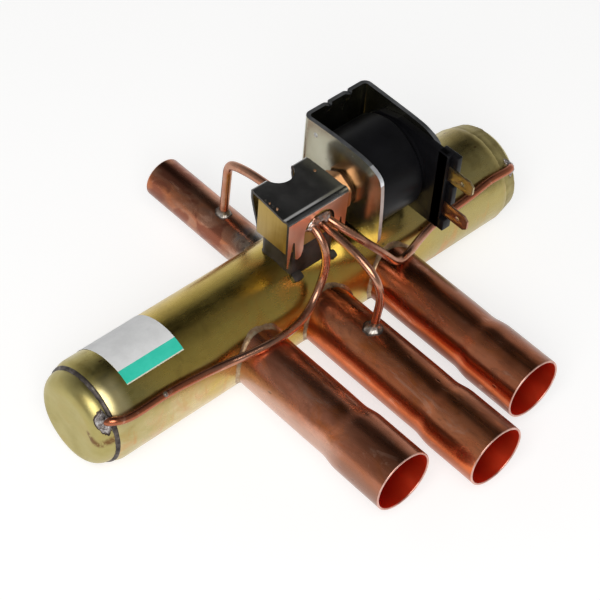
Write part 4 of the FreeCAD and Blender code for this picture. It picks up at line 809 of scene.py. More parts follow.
for side, s in (("left", -1), ("right", 1)):
    xe, rc = (100.95, 5.9) if s < 0 else (100.9, 6.5)
    out = rounded([(88.0, 16.1), (88.0, 17.55), (xe, 17.55), (xe, 0.0), (xe - 1.5, 0.0), (xe - 1.5, 16.1)],
                  [0.2, 0.3, rc, 0, 0, rc - 1.5], 12)
    out = [p for p in densify(out, 3.0)]

    def cap_wob(a, r, ph, s=s, xe=xe):
        dent = 0.10 * n3(a * 0.05 + 7 * s, 1.6 * cos(ph) * r / 17, 1.6 * sin(ph) * r / 17)
        return a + (dent if a > xe - 0.6 else 0.0) - (0.10 if a > xe - 0.1 and r < 9 else 0.0), r
    v, f, src = lathe([(a * s, r) for a, r in out], "X", segs=192, wob=lambda a, r, ph, s=s: (s * cap_wob(abs(a), r, ph)[0], r))
    make("cap_" + side, v, f, "cap", ROOT, ["end_cap_" + side])

    def seam_wob(a, r, ph, s=s):
        k = n3(3 * cos(ph) + 5 * s, 3 * sin(ph), 1.0)
        k2 = n3(11 * cos(ph), 11 * sin(ph), 4.0 + s)
        if r > 17.7:
            r += 0.10 * k + 0.10 * k2
        if abs(a) > (95.0 if s < 0 else 93.9):
            a += s * (0.30 * k + 0.22 * k2)
        return a, r
    if s < 0:
        sp = rounded([(93.6, 17.5), (93.6, 18.40), (94.3, 18.45), (94.85, 18.05), (95.25, 17.5)], [0, 0.4, 0.5, 0.4, 0], 3)
    else:
        sp = rounded([(91.4, 17.5), (91.6, 18.72), (93.2, 18.46), (95.2, 17.95), (97.4, 17.5)], [0, 0.3, 2.2, 2.2, 0], 6)
    v, f, src = lathe([(a * s, r) for a, r in sp], "X", segs=256, wob=seam_wob)
    make("seam_" + side, v, f, "seam" if s < 0 else "seam2", ROOT, ["seam_ring_" + side])


# --------------------------------------------------------------- copper sockets
def socket(name, x, mouth, mat, node, seed):
    ys = mouth - 30.0
    ye = mouth - 20.6
    out = [(-14.6, 11.11)]
    y = 16.0
    while y < ys:
        out.append((-y, 11.11 - 0.10 * max(0.0, 1 - (ys - y) / 7.0)))
        y += 2.2
    for k in range(15):
        t = k / 14
        sm = t * t * t * (t * (6 * t - 15) + 10)
        out.append((-(ys + (ye - ys) * t), 11.0 + (11.95 - 11.0) * sm))
    y = ye + 2
    while y < mouth - 0.8:
        out.append((-y, 11.95 + 0.02 * ((y - ye) / (mouth - ye))))
        y += 2.0
    lip = rounded([(-(mouth - 0.8), 11.975), (-mouth, 11.975), (-mouth, 11.175), (-(mouth - 0.8), 11.175)], [0, 0.34, 0.34, 0], 5)
    out += lip
    n_out = len(out)
    inn = [(-(mouth - k * (21.4 - 0.8) / 9 - 0.8), 11.175) for k in range(1, 10)]
    for k in range(9):
        t = k / 8
        sm = t * t * (3 - 2 * t)
        inn.append((-(mouth - 22 - 5 * t), 11.175 - (11.175 - 10.31) * sm))
    yy = mouth - 29
    while yy > 15.5:
        inn.append((-yy, 10.31))
        yy -= 2.6
    inn.append((-14.6, 10.31))
    prof = out + inn

    def wob(a, r, ph):
        k = 0.055 * n3(a * 0.05 + seed, 1.3 * cos(ph), 1.3 * sin(ph)) + 0.03 * cos(2 * ph + seed)
        near = max(0.0, min(1.0, (-a - 22) / 10))
        return a, r + k * near
    v, f, src = lathe(prof, "Y", at=(x, 0, 0), segs=160, wob=wob)
    fm = []
    for i in src:
        if i < n_out - 13:
            fm.append(0)
        elif i < n_out - 2:
            fm.append(2)
        else:
            fm.append(1)
    return make(name, v, f, [mat, "cu_in_mid" if x == 0 else "cu_in_side", "rim"], ROOT, [node], fm)


socket("socket_left", -31.5, 89.5, "cu_left", "socket_tube_left", 1.7)
socket("socket_suction", 0, 102.0, "cu_mid", "socket_tube_suction", 4.2)
socket("socket_right", 31.5, 89.5, "cu_right", "socket_tube_right", 8.9)

lip = rounded([(70.5, 7.94), (71.2, 7.94), (71.2, 7.14), (70.5, 7.14)], [0, 0.3, 0.3, 0], 4)
out = [(14.6 + i * 2.2, 7.94) for i in range(26)] + lip
n_out = len(out)
out += [(70 - i * 2.6, 7.14) for i in range(1, 22)] + [(14.6, 7.14)]
v, f, src = lathe(out, "Y", segs=128, wob=lambda a, r, ph: (a, r + (0.05 * n3(a * 0.06, 1.2 * cos(ph), 1.2 * sin(ph)) if a > 24 else 0)))
make("stub_discharge", v, f, ["cu_disch", "cu_in", "rim"], ROOT, ["discharge_tube"],
     [0 if i < n_out - 11 else (2 if i < n_out - 2 else 1) for i in src])


def braze(name, x0, r, side, node, h0, w0, seed):
    N, verts, faces = 144, [], []
    M = 9
    for i in range(N):
        ph = 2 * pi * i / N
        cx, cz = cos(ph), sin(ph)
        h = h0 * (1 + 0.45 * n3(2.2 * cx + seed, 2.2 * cz, 0.3)) + 0.25 * n3(7 * cx, 7 * cz, seed)
        w = w0 * (1 + 0.40 * n3(2.6 * cx + seed, 2.6 * cz, 5.1)) + 0.2 * n3(8 * cx, 8 * cz, seed + 3)

        def body_y(rr):
            z = rr * cz
            return sqrt(max(0.1, BODY_R ** 2 - z * z))
        a = (r - 0.04, body_y(r) + h)
        b = (r + 0.12, body_y(r) + 0.12)
        c = (r + w, body_y(r + w) - 0.03)
        pts = []
        for k in range(M):
            t = k / (M - 1)
            pts.append((a[0] * (1 - t) ** 2 + b[0] * 2 * t * (1 - t) + c[0] * t * t, a[1] * (1 - t) ** 2 + b[1] * 2 * t * (1 - t) + c[1] * t * t))
        pts.append((r + w, body_y(r + w) - 0.7))
        pts.append((r - 0.3, body_y(r) - 0.7))
        pts.append((r - 0.3, a[1]))
        for rr, yy in pts:
            verts.append((x0 + rr * cx, side * yy, rr * cz))
    K = M + 3
    for i in range(N):
        j = (i + 1) % N
        for k in range(K):
            l = (k + 1) % K
            faces.append((i * K + k, j * K + k, j * K + l, i * K + l))
    return make(name, verts, faces, "braze", ROOT, [node])


braze("fillet_left", -31.5, 11.11, -1, "braze_ring_left", 1.1, 1.25, 1.0)
braze("fillet_suction", 0, 11.11, -1, "braze_ring_suction", 1.1, 1.2, 4.0)
braze("fillet_right", 31.5, 11.11, -1, "braze_ring_right", 1.1, 1.25, 7.0)
braze("fillet_discharge", 0, 7.94, 1, "braze_ring_discharge", 1.3, 1.3, 9.0)

# ------------------------------------------------------------------ capillaries
ROUTES = {
    "left": [(-1.6, -6.3, PZ), (-1.6, -10.6, PZ), (-1.6, -15.8, 33.4), (-1.6, -17.4, 26.0), (-2.9, -17.3, 18.6),
             (-8.2, -19.0, 11.9), (-17.2, -22.2, 10.3), (-30.6, -24.5, 12.9), (-41.0, -21.9, 11.0), (-50.5, -18.9, 9.5),
             (-61.5, -18.2, 10.6), (-73.5, -17.6, 11.3), (-84.0, -17.9, 11.2), (-91.2, -17.7, 11.3), (-96.4, -15.8, 12.4), (-97.3, -11.6, 9.3)],
    "suction": [(1.8, -6.3, PZ), (1.8, -20.0, PZ), (1.7, -29.0, 36.6), (2.4, -37.4, 32.4), (3.2, -39.9, 24.0), (1.8, -39.9, 15.5), (0.6, -40.3, 9.2)],
    "right": [(5.2, -6.3, PZ), (5.2, -10.6, PZ), (9.6, -17.6, 33.6), (14.6, -20.8, 28.4), (20.4, -23.1, 21.8), (27.6, -24.5, 12.6),
              (34.6, -23.3, 12.7), (44.6, -19.2, 10.6), (54.0, -17.5, 11.8), (74.0, -16.9, 12.6), (83.4, -16.1, 13.5), (92.2, -16.5, 12.9),
              (96.0, -15.4, 12.0), (96.8, -11.6, 9.3)],
    "discharge": [(0.4, 4.7, PZ), (0.3, 21.0, 37.0), (0.0, 30.5, 35.2), (0.0, 36.0, 32.6), (0.0, 36.4, 25.0), (-0.2, 36.9, 9.0), (-0.2, 36.9, 7.3)],
}
for key, pts in ROUTES.items():
    path = spline(pts, 12)
    v, f = sweep(path, lambda t, p, k=len(key), b=(1.68 if key == "discharge" else 1.5): b * (1 + 0.012 * n3(p.x * 0.2 + k, p.y * 0.2, p.z * 0.2)), 28)
    make("capillary_line_" + key, v, f, "cu_cap", ROOT, ["capillary_" + key], angle=60)


# ------------------------------------------------------------------ solder
def bead(name, centre, axis_dir, u_dir, ru, rv, h, r_top, surf, node, seed, lean=(0, 0, 0), mat="silver", rag=1.0):
    """A wetted skirt on a curved wall that climbs to a collar round the capillary."""
    c, d, u = Vector(centre), Vector(axis_dir).normalized(), Vector(u_dir).normalized()
    w = d.cross(u)
    N, K = 56, 12
    verts, faces = [], []
    for k in range(K + 1):
        t = k / K
        for i in range(N):
            al = 2 * pi * i / N
            nz = 1 + rag * (0.16 * n3(1.6 * cos(al) + seed, 1.6 * sin(al), seed) + 0.10 * n3(5 * cos(al), 5 * sin(al), seed + 2))
            e = (1 - t) ** 1.35
            a = (r_top + (ru * nz - r_top) * e) * cos(al)
            b = (r_top + (rv * nz - r_top) * e) * sin(al)
            p = surf(c + u * a + w * b)
            lift = h * (t ** 1.5) * (1 + 0.12 * n3(3 * cos(al), 3 * sin(al), seed + 4)) - (0.08 if k == 0 else 0.0)
            lump = rag * 0.2 * n3(p.x * 0.9, p.y * 0.9, p.z * 0.9 + seed) * sin(pi * t)
            q = p + d * (lift + lump) + Vector(lean) * t
            verts.append(tuple(q))
    for i in range(N):
        p = Vector(verts[i]) - d * 0.9
        verts.append(tuple(p))
    base = (K + 1) * N
    for k in range(K):
        for i in range(N):
            j = (i + 1) % N
            faces.append((k * N + i, k * N + j, (k + 1) * N + j, (k + 1) * N + i))
    for i in range(N):
        j = (i + 1) % N
        faces.append((i, base + i, base + j, j))
    faces.append(tuple(K * N + i for i in range(N)))
    faces.append(tuple(base + i for i in reversed(range(N))))
    fm = [1 if q < 3 * N else 0 for q in range(K * N)] + [1] * N + [0, 1]
    return make(name, verts, faces, [mat, "halo"], ROOT, [node] if node else [], fm, angle=50)


def on_y_tube(R, x0):
    def surf(p):
        dx, dz = p.x - x0, p.z
        lim = max(-0.985, min(0.985, dx / R))
        return Vector((x0 + R * lim, p.y, R * sqrt(1 - lim * lim)))
    return surf


def on_cap(s):
    xe, rc, se = (100.95, 5.9, 95.4) if s < 0 else (100.9, 6.5, 94.6)

    def surf(p):
        ax = abs(p.x)
        r = 17.55
        if ax > xe - rc:
            r = 17.55 - rc + sqrt(max(0.2, rc * rc - (ax - xe + rc) ** 2))
        if ax < se:
            r = 17.6 + min(0.95, (se - ax) * 0.9)
        q = Vector((0, p.y, p.z)).normalized() * r
        return Vector((p.x, q.y, q.z))
    return surf


rad_dir = Vector((0, -15.8, 12.1)).normalized()
for side, s in (("left", -1), ("right", 1)):
    c = Vector((-97.2 if s < 0 else 96.4, rad_dir.y * 17.4, rad_dir.z * 17.4))
    bead("solder_cap_blob_" + side, c, rad_dir, Vector((0, 0.6, 0.8)) - rad_dir * rad_dir.dot(Vector((0, 0.6, 0.8))), 5.2, 2.1, 2.2, 1.8, on_cap(s),
         "solder_cap_" + side, 2.0 + s, (-0.2 * s, 0, 0), mat="grey", rag=2.0)
bead("solder_suction_blob", (0.7, -40.2, 11.1), (0.07, 0.02, 1), (0, 1, 0), 3.9, 3.8, 2.2, 1.85, on_y_tube(11.11, 0), "solder_suction", 5.0)
bead("solder_discharge_blob", (-0.2, 36.9, 7.94), (0, 0, 1), (0, 1, 0), 3.4, 3.0, 2.0, 1.8, on_y_tube(7.94, 0), "solder_discharge", 8.0)

v, f, src = lathe([(-1.0, 0.0)] + [(-1.0 * cos(pi * k / 10), 0.95 * sin(pi * k / 10) * (1 + 0.1 * (k % 2))) for k in range(1, 10)] + [(1.0, 0.0)], "X", at=(-74.6, -18.35, 12.35), segs=20)
make("solder_drop", v, f, "silver", ROOT, angle=60)
N, K = 48, 24
verts, faces = [], []
for k in range(K + 1):
    th = pi * k / K
    for i in range(N):
        al = 2 * pi * i / N
        d = Vector((cos(al) * sin(th), -cos(th), sin(al) * sin(th)))
        nz = 1 + 0.20 * n3(2.0 * d.x, 2.0 * d.y, 2.0 * d.z + 3) + 0.10 * n3(6 * d.x, 6 * d.y, 6 * d.z)
        verts.append((1.7 + d.x * 6.1 * nz, -8.5 + d.y * 2.2 * nz, PZ + 0.1 + d.z * 3.4 * nz))
for k in range(K):
    for i in range(N):
        j = (i + 1) % N
        faces.append((k * N + i, k * N + j, (k + 1) * N + j, (k + 1) * N + i))
make("solder_pilot_blob", verts, faces, "mixed", ROOT, ["solder_pilot"], angle=60)

# ------------------------------------------------------------------ pilot valve
blk = block("pilot_block", (-12.6, -8.6, 30.0), (13.2, 7.0, 45.6), 0.28, ["block"], ROOT, ["pilot_body"])
cut_with(blk, [rod(5.5, (-7.0, PY, PZ), (14.5, PY, PZ), 64)], "block")


# black foot: a drawn cup whose rim follows the tube, with toes
def foot_ring(xa, xb, ya, yb, r, n=6):
    return rounded([(xa, ya), (xb, ya), (xb, yb), (xa, yb)], r, n)


verts, faces = [], []
rings = []
spec = [(0.0, 0.95, None), (0.35, 0.35, None), (0.95, 0.0, None), (None, 0.0, 0.0), (None, 0.0, 1.0)]
outer = foot_ring(-9.8, 10.7, -8.6, 7.6, 2.6)
cx, cy = 0.9, -0.5


def shrink(loop, d):
    out = []
    n = len(loop)
    for i, p in enumerate(loop):
        a, b = Vector(loop[i - 1]), Vector(loop[(i + 1) % n])
        t = (b - a).normalized()
        out.append((p[0] - t.y * d, p[1] + t.x * d))
    return out


def foot_level(loop, z_of):
    ring = []
    for x, y in loop:
        ring.append(len(verts))
        verts.append((x, y, z_of(x, y)))
    rings.append(ring)


def body_top(y, lift=0.0):
    return sqrt(max(1.0, (BODY_R + lift) ** 2 - y * y))


foot_level(shrink(outer, 0.95), lambda x, y: 29.98)
foot_level(shrink(outer, 0.35), lambda x, y: 29.8)
foot_level(outer, lambda x, y: 29.1)
for t in (0.25, 0.5, 0.75):
    foot_level(outer, lambda x, y, t=t: 29.1 + (body_top(y) + 1.4 - 29.1) * t)
foot_level(outer, lambda x, y: body_top(y) + 1.3)
flare = shrink(outer, -0.22)
foot_level(flare, lambda x, y: body_top(y) + 0.75)
foot_level(flare, lambda x, y: body_top(y) + 0.30)
flare2 = shrink(outer, -0.05)
foot_level(flare2, lambda x, y: body_top(y) + 0.02)
ins = shrink(outer, 1.2)
foot_level(ins, lambda x, y: body_top(y) + 0.02)
foot_level(ins, lambda x, y: 28.8)
for a in range(len(rings) - 1):
    A, B = rings[a], rings[a + 1]
    for i in range(len(A)):
        j = (i + 1) % len(A)
        faces.append((A[i], A[j], B[j], B[i]))
faces.append(tuple(rings[0]))
faces.append(tuple(rings[-1]))
make("saddle_cup", verts, faces, "black", ROOT, ["pilot_saddle"], angle=45)


def toe(name, xa, xb, ya, yb):
    ol = rounded([(xa, ya), (xb, ya), (xb, yb), (xa, yb)], 0.9, 5)
    ol = densify(ol, 1.0)

    def place(u, w):
        r = BODY_R + 0.62
        a = w / BODY_R
        return (u, r * sin(a), r * cos(a))
    return sheet(name, ol, [], [], [ya + (yb - ya) * k / 8 for k in range(1, 8)], place, 1.15, 0.25, "black", ROOT)


toe("toe_front_left", -9.5, -5.4, -11.3, -8.2)
toe("toe_front_right", 7.1, 10.7, -11.1, -8.2)

# plated bracket, one blank bent front and back
S_TOP = 1.414
S_REAR = S_TOP + 18.8
S_DOWN = S_REAR + 1.1


def bracket_place(u, s):
    if s <= 0:
        return (u, -9.1, 44.9 + s * 0.9856)
    if s <= S_TOP:
        th = s / 0.9
        return (u, -9.1 + 1.2 * (1 - cos(th)), 44.9 + 1.2 * sin(th))
    if s <= S_REAR:
        q = (s - S_TOP) / (S_REAR - S_TOP)
        crown = 0.62 * max(0.0, 1 - q / 0.95) ** 2 + 0.10 * max(0.0, 1 - abs(u + 13.5) / 5) ** 2
        return (u, -7.9 + (s - S_TOP) * 0.984, 46.1 - crown * min(1.0, q * 12))
    if s <= S_DOWN:
        th = (s - S_REAR) / 0.7
        return (u, 10.6 + 0.7 * sin(th), 45.4 + 0.7 * cos(th))
    z = 45.4 - (s - S_DOWN)
    if z > 42.4:
        return (u, 11.3, z)
    q = min(1.0, (42.4 - z) / 12.6)
    q = q * q * (3 - 2 * q) * 0.35 + q * 0.65
    return (u, 11.3 - 3.15 * q, z)


zf = lambda z: z - 45.2
arch = [(1.3 + 7.0 * cos(a), zf(37.0 + 7.0 * sin(a))) for a in [pi - pi * k / 26 for k in range(27)]]
notch_s = 12.3 + 8.2 + S_TOP
nt = [(0.9 + 6.0 * cos(a), notch_s + 6.0 * sin(a)) for a in [0.05 + (-pi - 0.1) * k / 30 for k in range(31)]]
front_left = [(-13.5, 0.6), (-13.1, zf(24.9)), (-12.5, zf(24.3)), (-11.0, zf(35.6)), (-10.5, zf(36.4)), (-10.1, zf(35.4)), (-9.2, zf(27.2)), (-8.2, zf(26.2)), (-6.6, zf(27.0)),
              (-5.75, zf(30.0)), (-5.7, zf(36.0))]
front_right = [(8.3, zf(36.0)), (8.35, zf(30.0)), (8.9, zf(27.2)), (9.9, zf(26.6)), (10.7, zf(27.6)), (11.2, zf(34.4)), (11.6, zf(35.2)), (12.0, zf(34.4)), (12.8, zf(25.9)), (13.5, zf(25.6)),
               (14.0, zf(26.5)), (14.4, 0.6)]
rear = [(13.4, S_DOWN - 0.3), (13.1, S_DOWN + 9), (12.6, S_DOWN + 18.6), (8.2, S_DOWN + 18.6), (7.3, S_DOWN + 9), (7.15, S_DOWN + 1.6)]
rear_l = [(-5.35, S_DOWN + 1.6), (-5.5, S_DOWN + 9), (-6.4, S_DOWN + 18.6), (-10.8, S_DOWN + 18.6), (-11.3, S_DOWN + 9), (-11.6, S_DOWN - 0.3)]
ol = (rounded(front_left, [0] + [0.35] * 3 + [0.3] + [0.4] * 5 + [0], 4, closed=False) + arch
      + rounded(front_right, [0] + [0.4] * 4 + [0.3, 0.3, 0.3] + [0.4] * 3 + [0], 4, closed=False)
      + rounded([(14.4, 0.6), (13.75, S_REAR - 0.9)] + rear + [(6.9, notch_s)], [0, 1.1, 0.8, 0, 1.0, 1.0, 0, 0.5, 0], 5, closed=False)[1:-1] + nt
      + rounded([(-5.1, notch_s)] + rear_l + [(-12.25, S_REAR - 0.9), (-13.5, 0.6)], [0, 0.5, 0, 1.0, 1.0, 0, 0.8, 1.1, 0], 5, closed=False)[1:-1])
dot = [(11.2 + 0.55 * cos(a), 4.35 + 8.2 + S_TOP + 0.55 * sin(a)) for a in [2 * pi * k / 16 for k in range(16)]]
lines = [S_TOP * k / 8 for k in range(0, 9)] + [S_TOP + 0.5 + 0.9 * k for k in range(9)] + [S_REAR + 1.1 * k / 6 for k in range(0, 7)] + [S_DOWN + 3 + k * 1.3 for k in range(0, 12)] \
    + [-20 + k * 2.0 for k in range(10)] + [3 + k * 2.0 for k in range(9)]
# the bracket's cut edges (rim) take the black steel: painted dark edge lines on the plated blank
sheet("bracket", ol, [dot], [-10 + 2.5 * k for k in range(10)], lines, bracket_place, 1.0, 0.12, ["plate", "black", "flange", "bend"], ROOT, ["pilot_bracket"],
      pick=lambda c: 2 if c.y < -8.7 and c.z < 45.3 else (3 if c.y < -8.0 else 0))
v, f, src = lathe(rounded([(45.9, 0), (45.9, 0.5), (46.72, 0.5), (46.78, 0)], [0, 0, 0.12, 0], 3), "Z", at=(11.2, 4.35, 0), segs=24)
make("bracket_rivet", v, f, "collar", ROOT)
for i, (bx, by, br) in enumerate([(-11.9, 4.2, 0.42), (-11.7, 2.3, 0.34), (-11.9, 0.4, 0.46), (-11.5, -1.3, 0.36)]):
    v, f, src = lathe(rounded([(45.9, 0), (45.9, br), (46.68, br), (46.74, 0)], [0, 0, 0.1, 0], 3), "Z", at=(bx, by, 0), segs=20)
    make("bracket_spatter_%d" % i, v, f, "collar" if i % 2 else "black", ROOT)

# hexagonal collar
hexp, N = [], 96
verts, faces = [], []
lev = [(13.2, 0.0), (13.2, 1.0), (13.9, 1.0), (18.7, 1.0), (19.3, 1.0), (19.5, 1.0)]


def hex_r(ph, af=13.4):
    k = ((ph + pi / 6) % (pi / 3)) - pi / 6
    return min(af / 2 / cos(k), 7.42)


rows = [(13.2, 1.0, 0.25), (13.45, 1.0, 0.0), (18.0, 1.0, 0.0), (18.25, 0.985, 0.15), (18.4, 0.93, 0.3), (18.5, 0.86, 0.4), (19.3, 0.86, 0.4), (19.5, 0.84, 0.4)]
for x, k, dd in rows:
    for i in range(N):
        ph = 2 * pi * i / N
        r = min(hex_r(ph) - dd, 7.45 * k if k < 1 else 99)
        verts.append((x, PY + r * cos(ph), PZ + r * sin(ph)))
for x in (19.5, 13.2):
    for i in range(N):
        ph = 2 * pi * i / N
        verts.append((x, PY + 5.52 * cos(ph), PZ + 5.52 * sin(ph)))
R_ = len(rows) + 2
for a in range(R_):
    b = (a + 1) % R_
    for i in range(N):
        j = (i + 1) % N
        faces.append((a * N + i, a * N + j, b * N + j, b * N + i))
hm = [1 if 4 <= a <= 7 else 0 for a in range(R_) for i in range(N)]  # shoulder behind the flats
make("hex_collar", verts, faces, ["collar", "ring_dark"], ROOT, ["plunger_nut"], hm, angle=24)

# ------------------------------------------------------------------------- yoke
YX0, YX1, YY0, YY1, YZ0, YZ1 = 19.5, 49.2, -20.8, 19.9, 24.0, 57.3
RM = 2.2
mx0, mx1, my1 = YX0 + 0.8, YX1 - 0.8, YY1 - 0.8
arm = (my1 - RM) - YY0
quart = RM * pi / 2
web = (mx1 - RM) - (mx0 + RM)
TOT = 2 * arm + 2 * quart + web


def yoke_xy(s):
    if s <= arm:
        return mx0, YY0 + s
    if s <= arm + quart:
        th = (s - arm) / RM
        return mx0 + RM * (1 - cos(th)), my1 - RM + RM * sin(th)
    if s <= arm + quart + web:
        return mx0 + RM + (s - arm - quart), my1
    if s <= arm + 2 * quart + web:
        th = (s - arm - quart - web) / RM
        return mx1 - RM + RM * sin(th), my1 - RM + RM * cos(th)
    return mx1, my1 - RM - (s - arm - 2 * quart - web)


def yoke_place(s, z):
    x, y = yoke_xy(s)
    if x < 34.0 and y > 2.0:
        x -= 0.75 * min(1.0, (y - 2.0) / 16.0) ** 1.5 * min(1.0, (34.0 - x) / 12.0)
    for cx in (29.7, 39.3):
        for ze, sg in ((YZ1, 1), (YZ0, -1)):
            dz = (ze - z) * sg
            if y > 17 and abs(x - cx) < 1.5 and dz < 3.2:
                k = 0.5 + 0.5 * cos(pi * (x - cx) / 1.5)
                y -= 1.15 * k * (1 - max(0.0, dz) / 3.2) ** 0.7
    return (x, y, z)


CORNER = [(-3.0, 57.3), (-6.0, 57.22), (-9.0, 57.08), (-11.0, 56.85), (-13.1, 56.35), (-15.2, 55.65), (-16.9, 54.85), (-18.2, 53.75), (-18.9, 52.6),
          (-19.3, 51.2), (-19.6, 49.2), (-20.0, 45.0), (-20.25, 41.0), (-20.5, 35.4), (-20.7, 29.0), (-20.75, 27.0)]
LOWER = [(-20.75, 26.6), (-20.6, 25.6), (-20.1, 24.8), (-19.4, 24.25), (-18.4, 24.0)]
tall = [(y - YY0, z) for y, z in CORNER + LOWER]
ol = tall + [(TOT - s, z) for s, z in reversed(tall)]
circ = lambda s0, z0, r, n: [(s0 + r * cos(2 * pi * k / n), z0 + r * sin(2 * pi * k / n)) for k in range(n)]
sA = PY - YY0
holes = [circ(sA, PZ, 5.8, 48), circ(TOT - sA, PZ, 2.25, 24), circ(13.0 - YY0, 52.4, 0.55, 16)]
us = [arm + quart * k / 8 for k in range(9)] + [arm + quart + web * k / 72 for k in range(1, 72)] + [arm + quart + web + quart * k / 8 for k in range(9)] \
    + [3 + 3 * k for k in range(11)] + [TOT - 3 - 3 * k for k in range(11)]
vs_ = [YZ0 + 0.6 * k for k in range(1, 9)] + [YZ1 - 0.6 * k for k in range(1, 9)] + [32 + 3 * k for k in range(7)]
yk = sheet("yoke_strip", ol, holes, us, vs_, yoke_place, 1.6, 0.46, ["yoke", "cut"], ROOT, ["coil_yoke"], seg=3)
lit, shade = [], []
for q in yk.data.polygons:
    n_, c_ = q.normal, q.center / MM
    flat = max(abs(n_.x), abs(n_.y), abs(n_.z)) > 0.985
    if abs(c_.z - 40.6) > 11.5 and not flat and abs(n_.z) > 0.15:
        outer_side = (c_.x - 34.35) * n_.x > 0.05 or (c_.y > 17 and n_.y > 0.1)
        if outer_side and c_.x < 44 and c_.y > -14.5:
            shade.append(q.index)
        elif outer_side:
            lit.append(q.index)
yk.data.materials.append(MATS["edge"])
yk.data.materials.append(MATS["line"])
yk.data.materials.append(MATS["edge_glint"])
yk.data.materials.append(MATS["edge_rosy"])
for i in lit:
    yk.data.polygons[i].material_index = 2
for i in shade:
    yk.data.polygons[i].material_index = 3
# the left arm's front corner gets a painted glint and its front edge a painted rosy reflection
for q in yk.data.polygons:
    n_, c_ = q.normal, q.center / MM
    if c_.x < 24 and c_.y < -12.5 and q.material_index != 0 and abs(n_.x) < 0.97:
        q.material_index = 4 if c_.z > 50.6 else (5 if c_.y < -18.5 else q.material_index)
v, f, src = lathe(rounded([(18.72, 0), (18.72, 0.55), (18.98, 0.95), (19.5, 0.95), (19.5, 0)], [0, 0.15, 0.15, 0, 0], 3), "X", at=(0, 13.0, 52.4), segs=28)
make("yoke_rivet", v, f, "steel", ROOT)

# ------------------------------------------------------------------------- coil
cp = rounded([(21.3, 5.65), (21.3, 17.0), (22.3, 18.0), (41.6, 18.0), (42.7, 16.9), (43.3, 15.6), (45.1, 15.6), (45.1, 5.65)],
             [0.2, 0.5, 0.6, 0.5, 0.3, 0.3, 0, 0], 5)
v, f, src = lathe(densify(cp, 3.0), "X", at=(0, PY, PZ), segs=192,
                  wob=lambda a, r, ph: (a, r + (0.05 * n3(a * 0.08, 1.5 * cos(ph), 1.5 * sin(ph)) if r > 15 else 0)))
make("coil_drum", v, f, "coil", ROOT, ["coil_shell"], angle=26)

HZ0, HZ1 = 20.5, 55.1
pl = rounded([(-25.8, HZ0), (PY, HZ0), (8.2, HZ0 + 2.6), (14.2, PZ - 8.6), (14.2, PZ + 8.6), (8.2, HZ1 - 2.6), (PY, HZ1), (-25.8, HZ1)],
             [1.2, 3, 3, 2, 2, 3, 3, 1.2], 6)
hole = circ(PY, PZ, 5.8, 40)
sheet("coil_flange", pl, [hole], [], [], lambda u, w: (46.25, u, w), 2.5, 0.3, "coil", ROOT, seg=3)
block("coil_head", (45.0, -25.8, HZ0), (49.2, -21.0, HZ1), 0.45, "coil", ROOT)
block("coil_lug_top", (47.0, -28.6, 47.0), (49.6, -25.3, HZ1 - 0.3), 0.4, "coil", ROOT)
block("coil_lug_mid", (47.0, -28.3, 32.0), (49.6, -25.3, 40.8), 0.4, "coil", ROOT)
block("coil_lug_low", (45.0, -28.0, HZ0 - 0.0), (49.2, -25.3, 25.5), 0.4, "coil", ROOT)


def blade(name, zc, mat, node):
    h = 3.175
    ol = rounded([(-22.4, zc - h), (-22.4, zc + h), (-35.6, zc + h), (-37.4, zc + h - 1.5), (-37.4, zc - h + 1.5), (-35.6, zc - h)],
                 [0.1, 0.1, 0.4, 0.5, 0.5, 0.4], 4)
    hole = circ(-32.6, zc, 0.85, 24)
    ob = sheet(name, ol, [hole], [-36.6], [], lambda u, w: (47.0, u, w), 0.8, 0.14, mat, ROOT, [node], seg=2)
    return ob


blade("blade_upper", 46.2, "blade1", "terminal_upper")
blade("blade_lower", 29.45, "blade2", "terminal_lower")

# screw and washer
v, f, src = lathe(rounded([(49.2, 2.05), (49.2, 4.6), (50.0, 4.6), (50.0, 2.05)], [0, 0.2, 0.2, 0], 3), "X", at=(0, PY, PZ), segs=72)
make("washer", v, f, "steel", ROOT, ["screw_washer"])
sc = rounded([(42.5, 0), (42.5, 2.0), (50.0, 2.0), (50.0, 4.1), (52.2, 4.1), (53.0, 2.6), (53.0, 0)], [0, 0.3, 0, 0.3, 0.5, 0.5, 0], 5)
v, f, src = lathe(sc, "X", at=(0, PY, PZ), segs=72)
screw = make("pan_screw", v, f, "steel", ROOT, ["coil_screw"])


def box_vf(lo, hi):
    (a, b, c), (d, e, g) = lo, hi
    v = [(a, b, c), (d, b, c), (d, e, c), (a, e, c), (a, b, g), (d, b, g), (d, e, g), (a, e, g)]
    return v, [(0, 3, 2, 1), (4, 5, 6, 7), (0, 1, 5, 4), (1, 2, 6, 5), (2, 3, 7, 6), (3, 0, 4, 7)]


cut_with(screw, [box_vf((51.4, PY - 0.45, PZ - 2.3), (55, PY + 0.45, PZ + 2.3)), box_vf((51.4, PY - 2.3, PZ - 0.45), (55, PY + 2.3, PZ + 0.45))], "steel")

# plunger spring
SX0, SX1, TURNS = 27.3, 36.2, 7.0
steps = 7 * 28
path = [Vector((SX0 + (SX1 - SX0) * k / steps, PY + 2.1 * cos(2 * pi * TURNS * k / steps), PZ + 2.1 * sin(2 * pi * TURNS * k / steps))) for k in range(steps + 1)]
v, f = sweep(path, 0.245, 10)
spring = make("spring_coil", v, f, "steel", ROOT, ["plunger_spring"], angle=60)
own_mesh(spring)

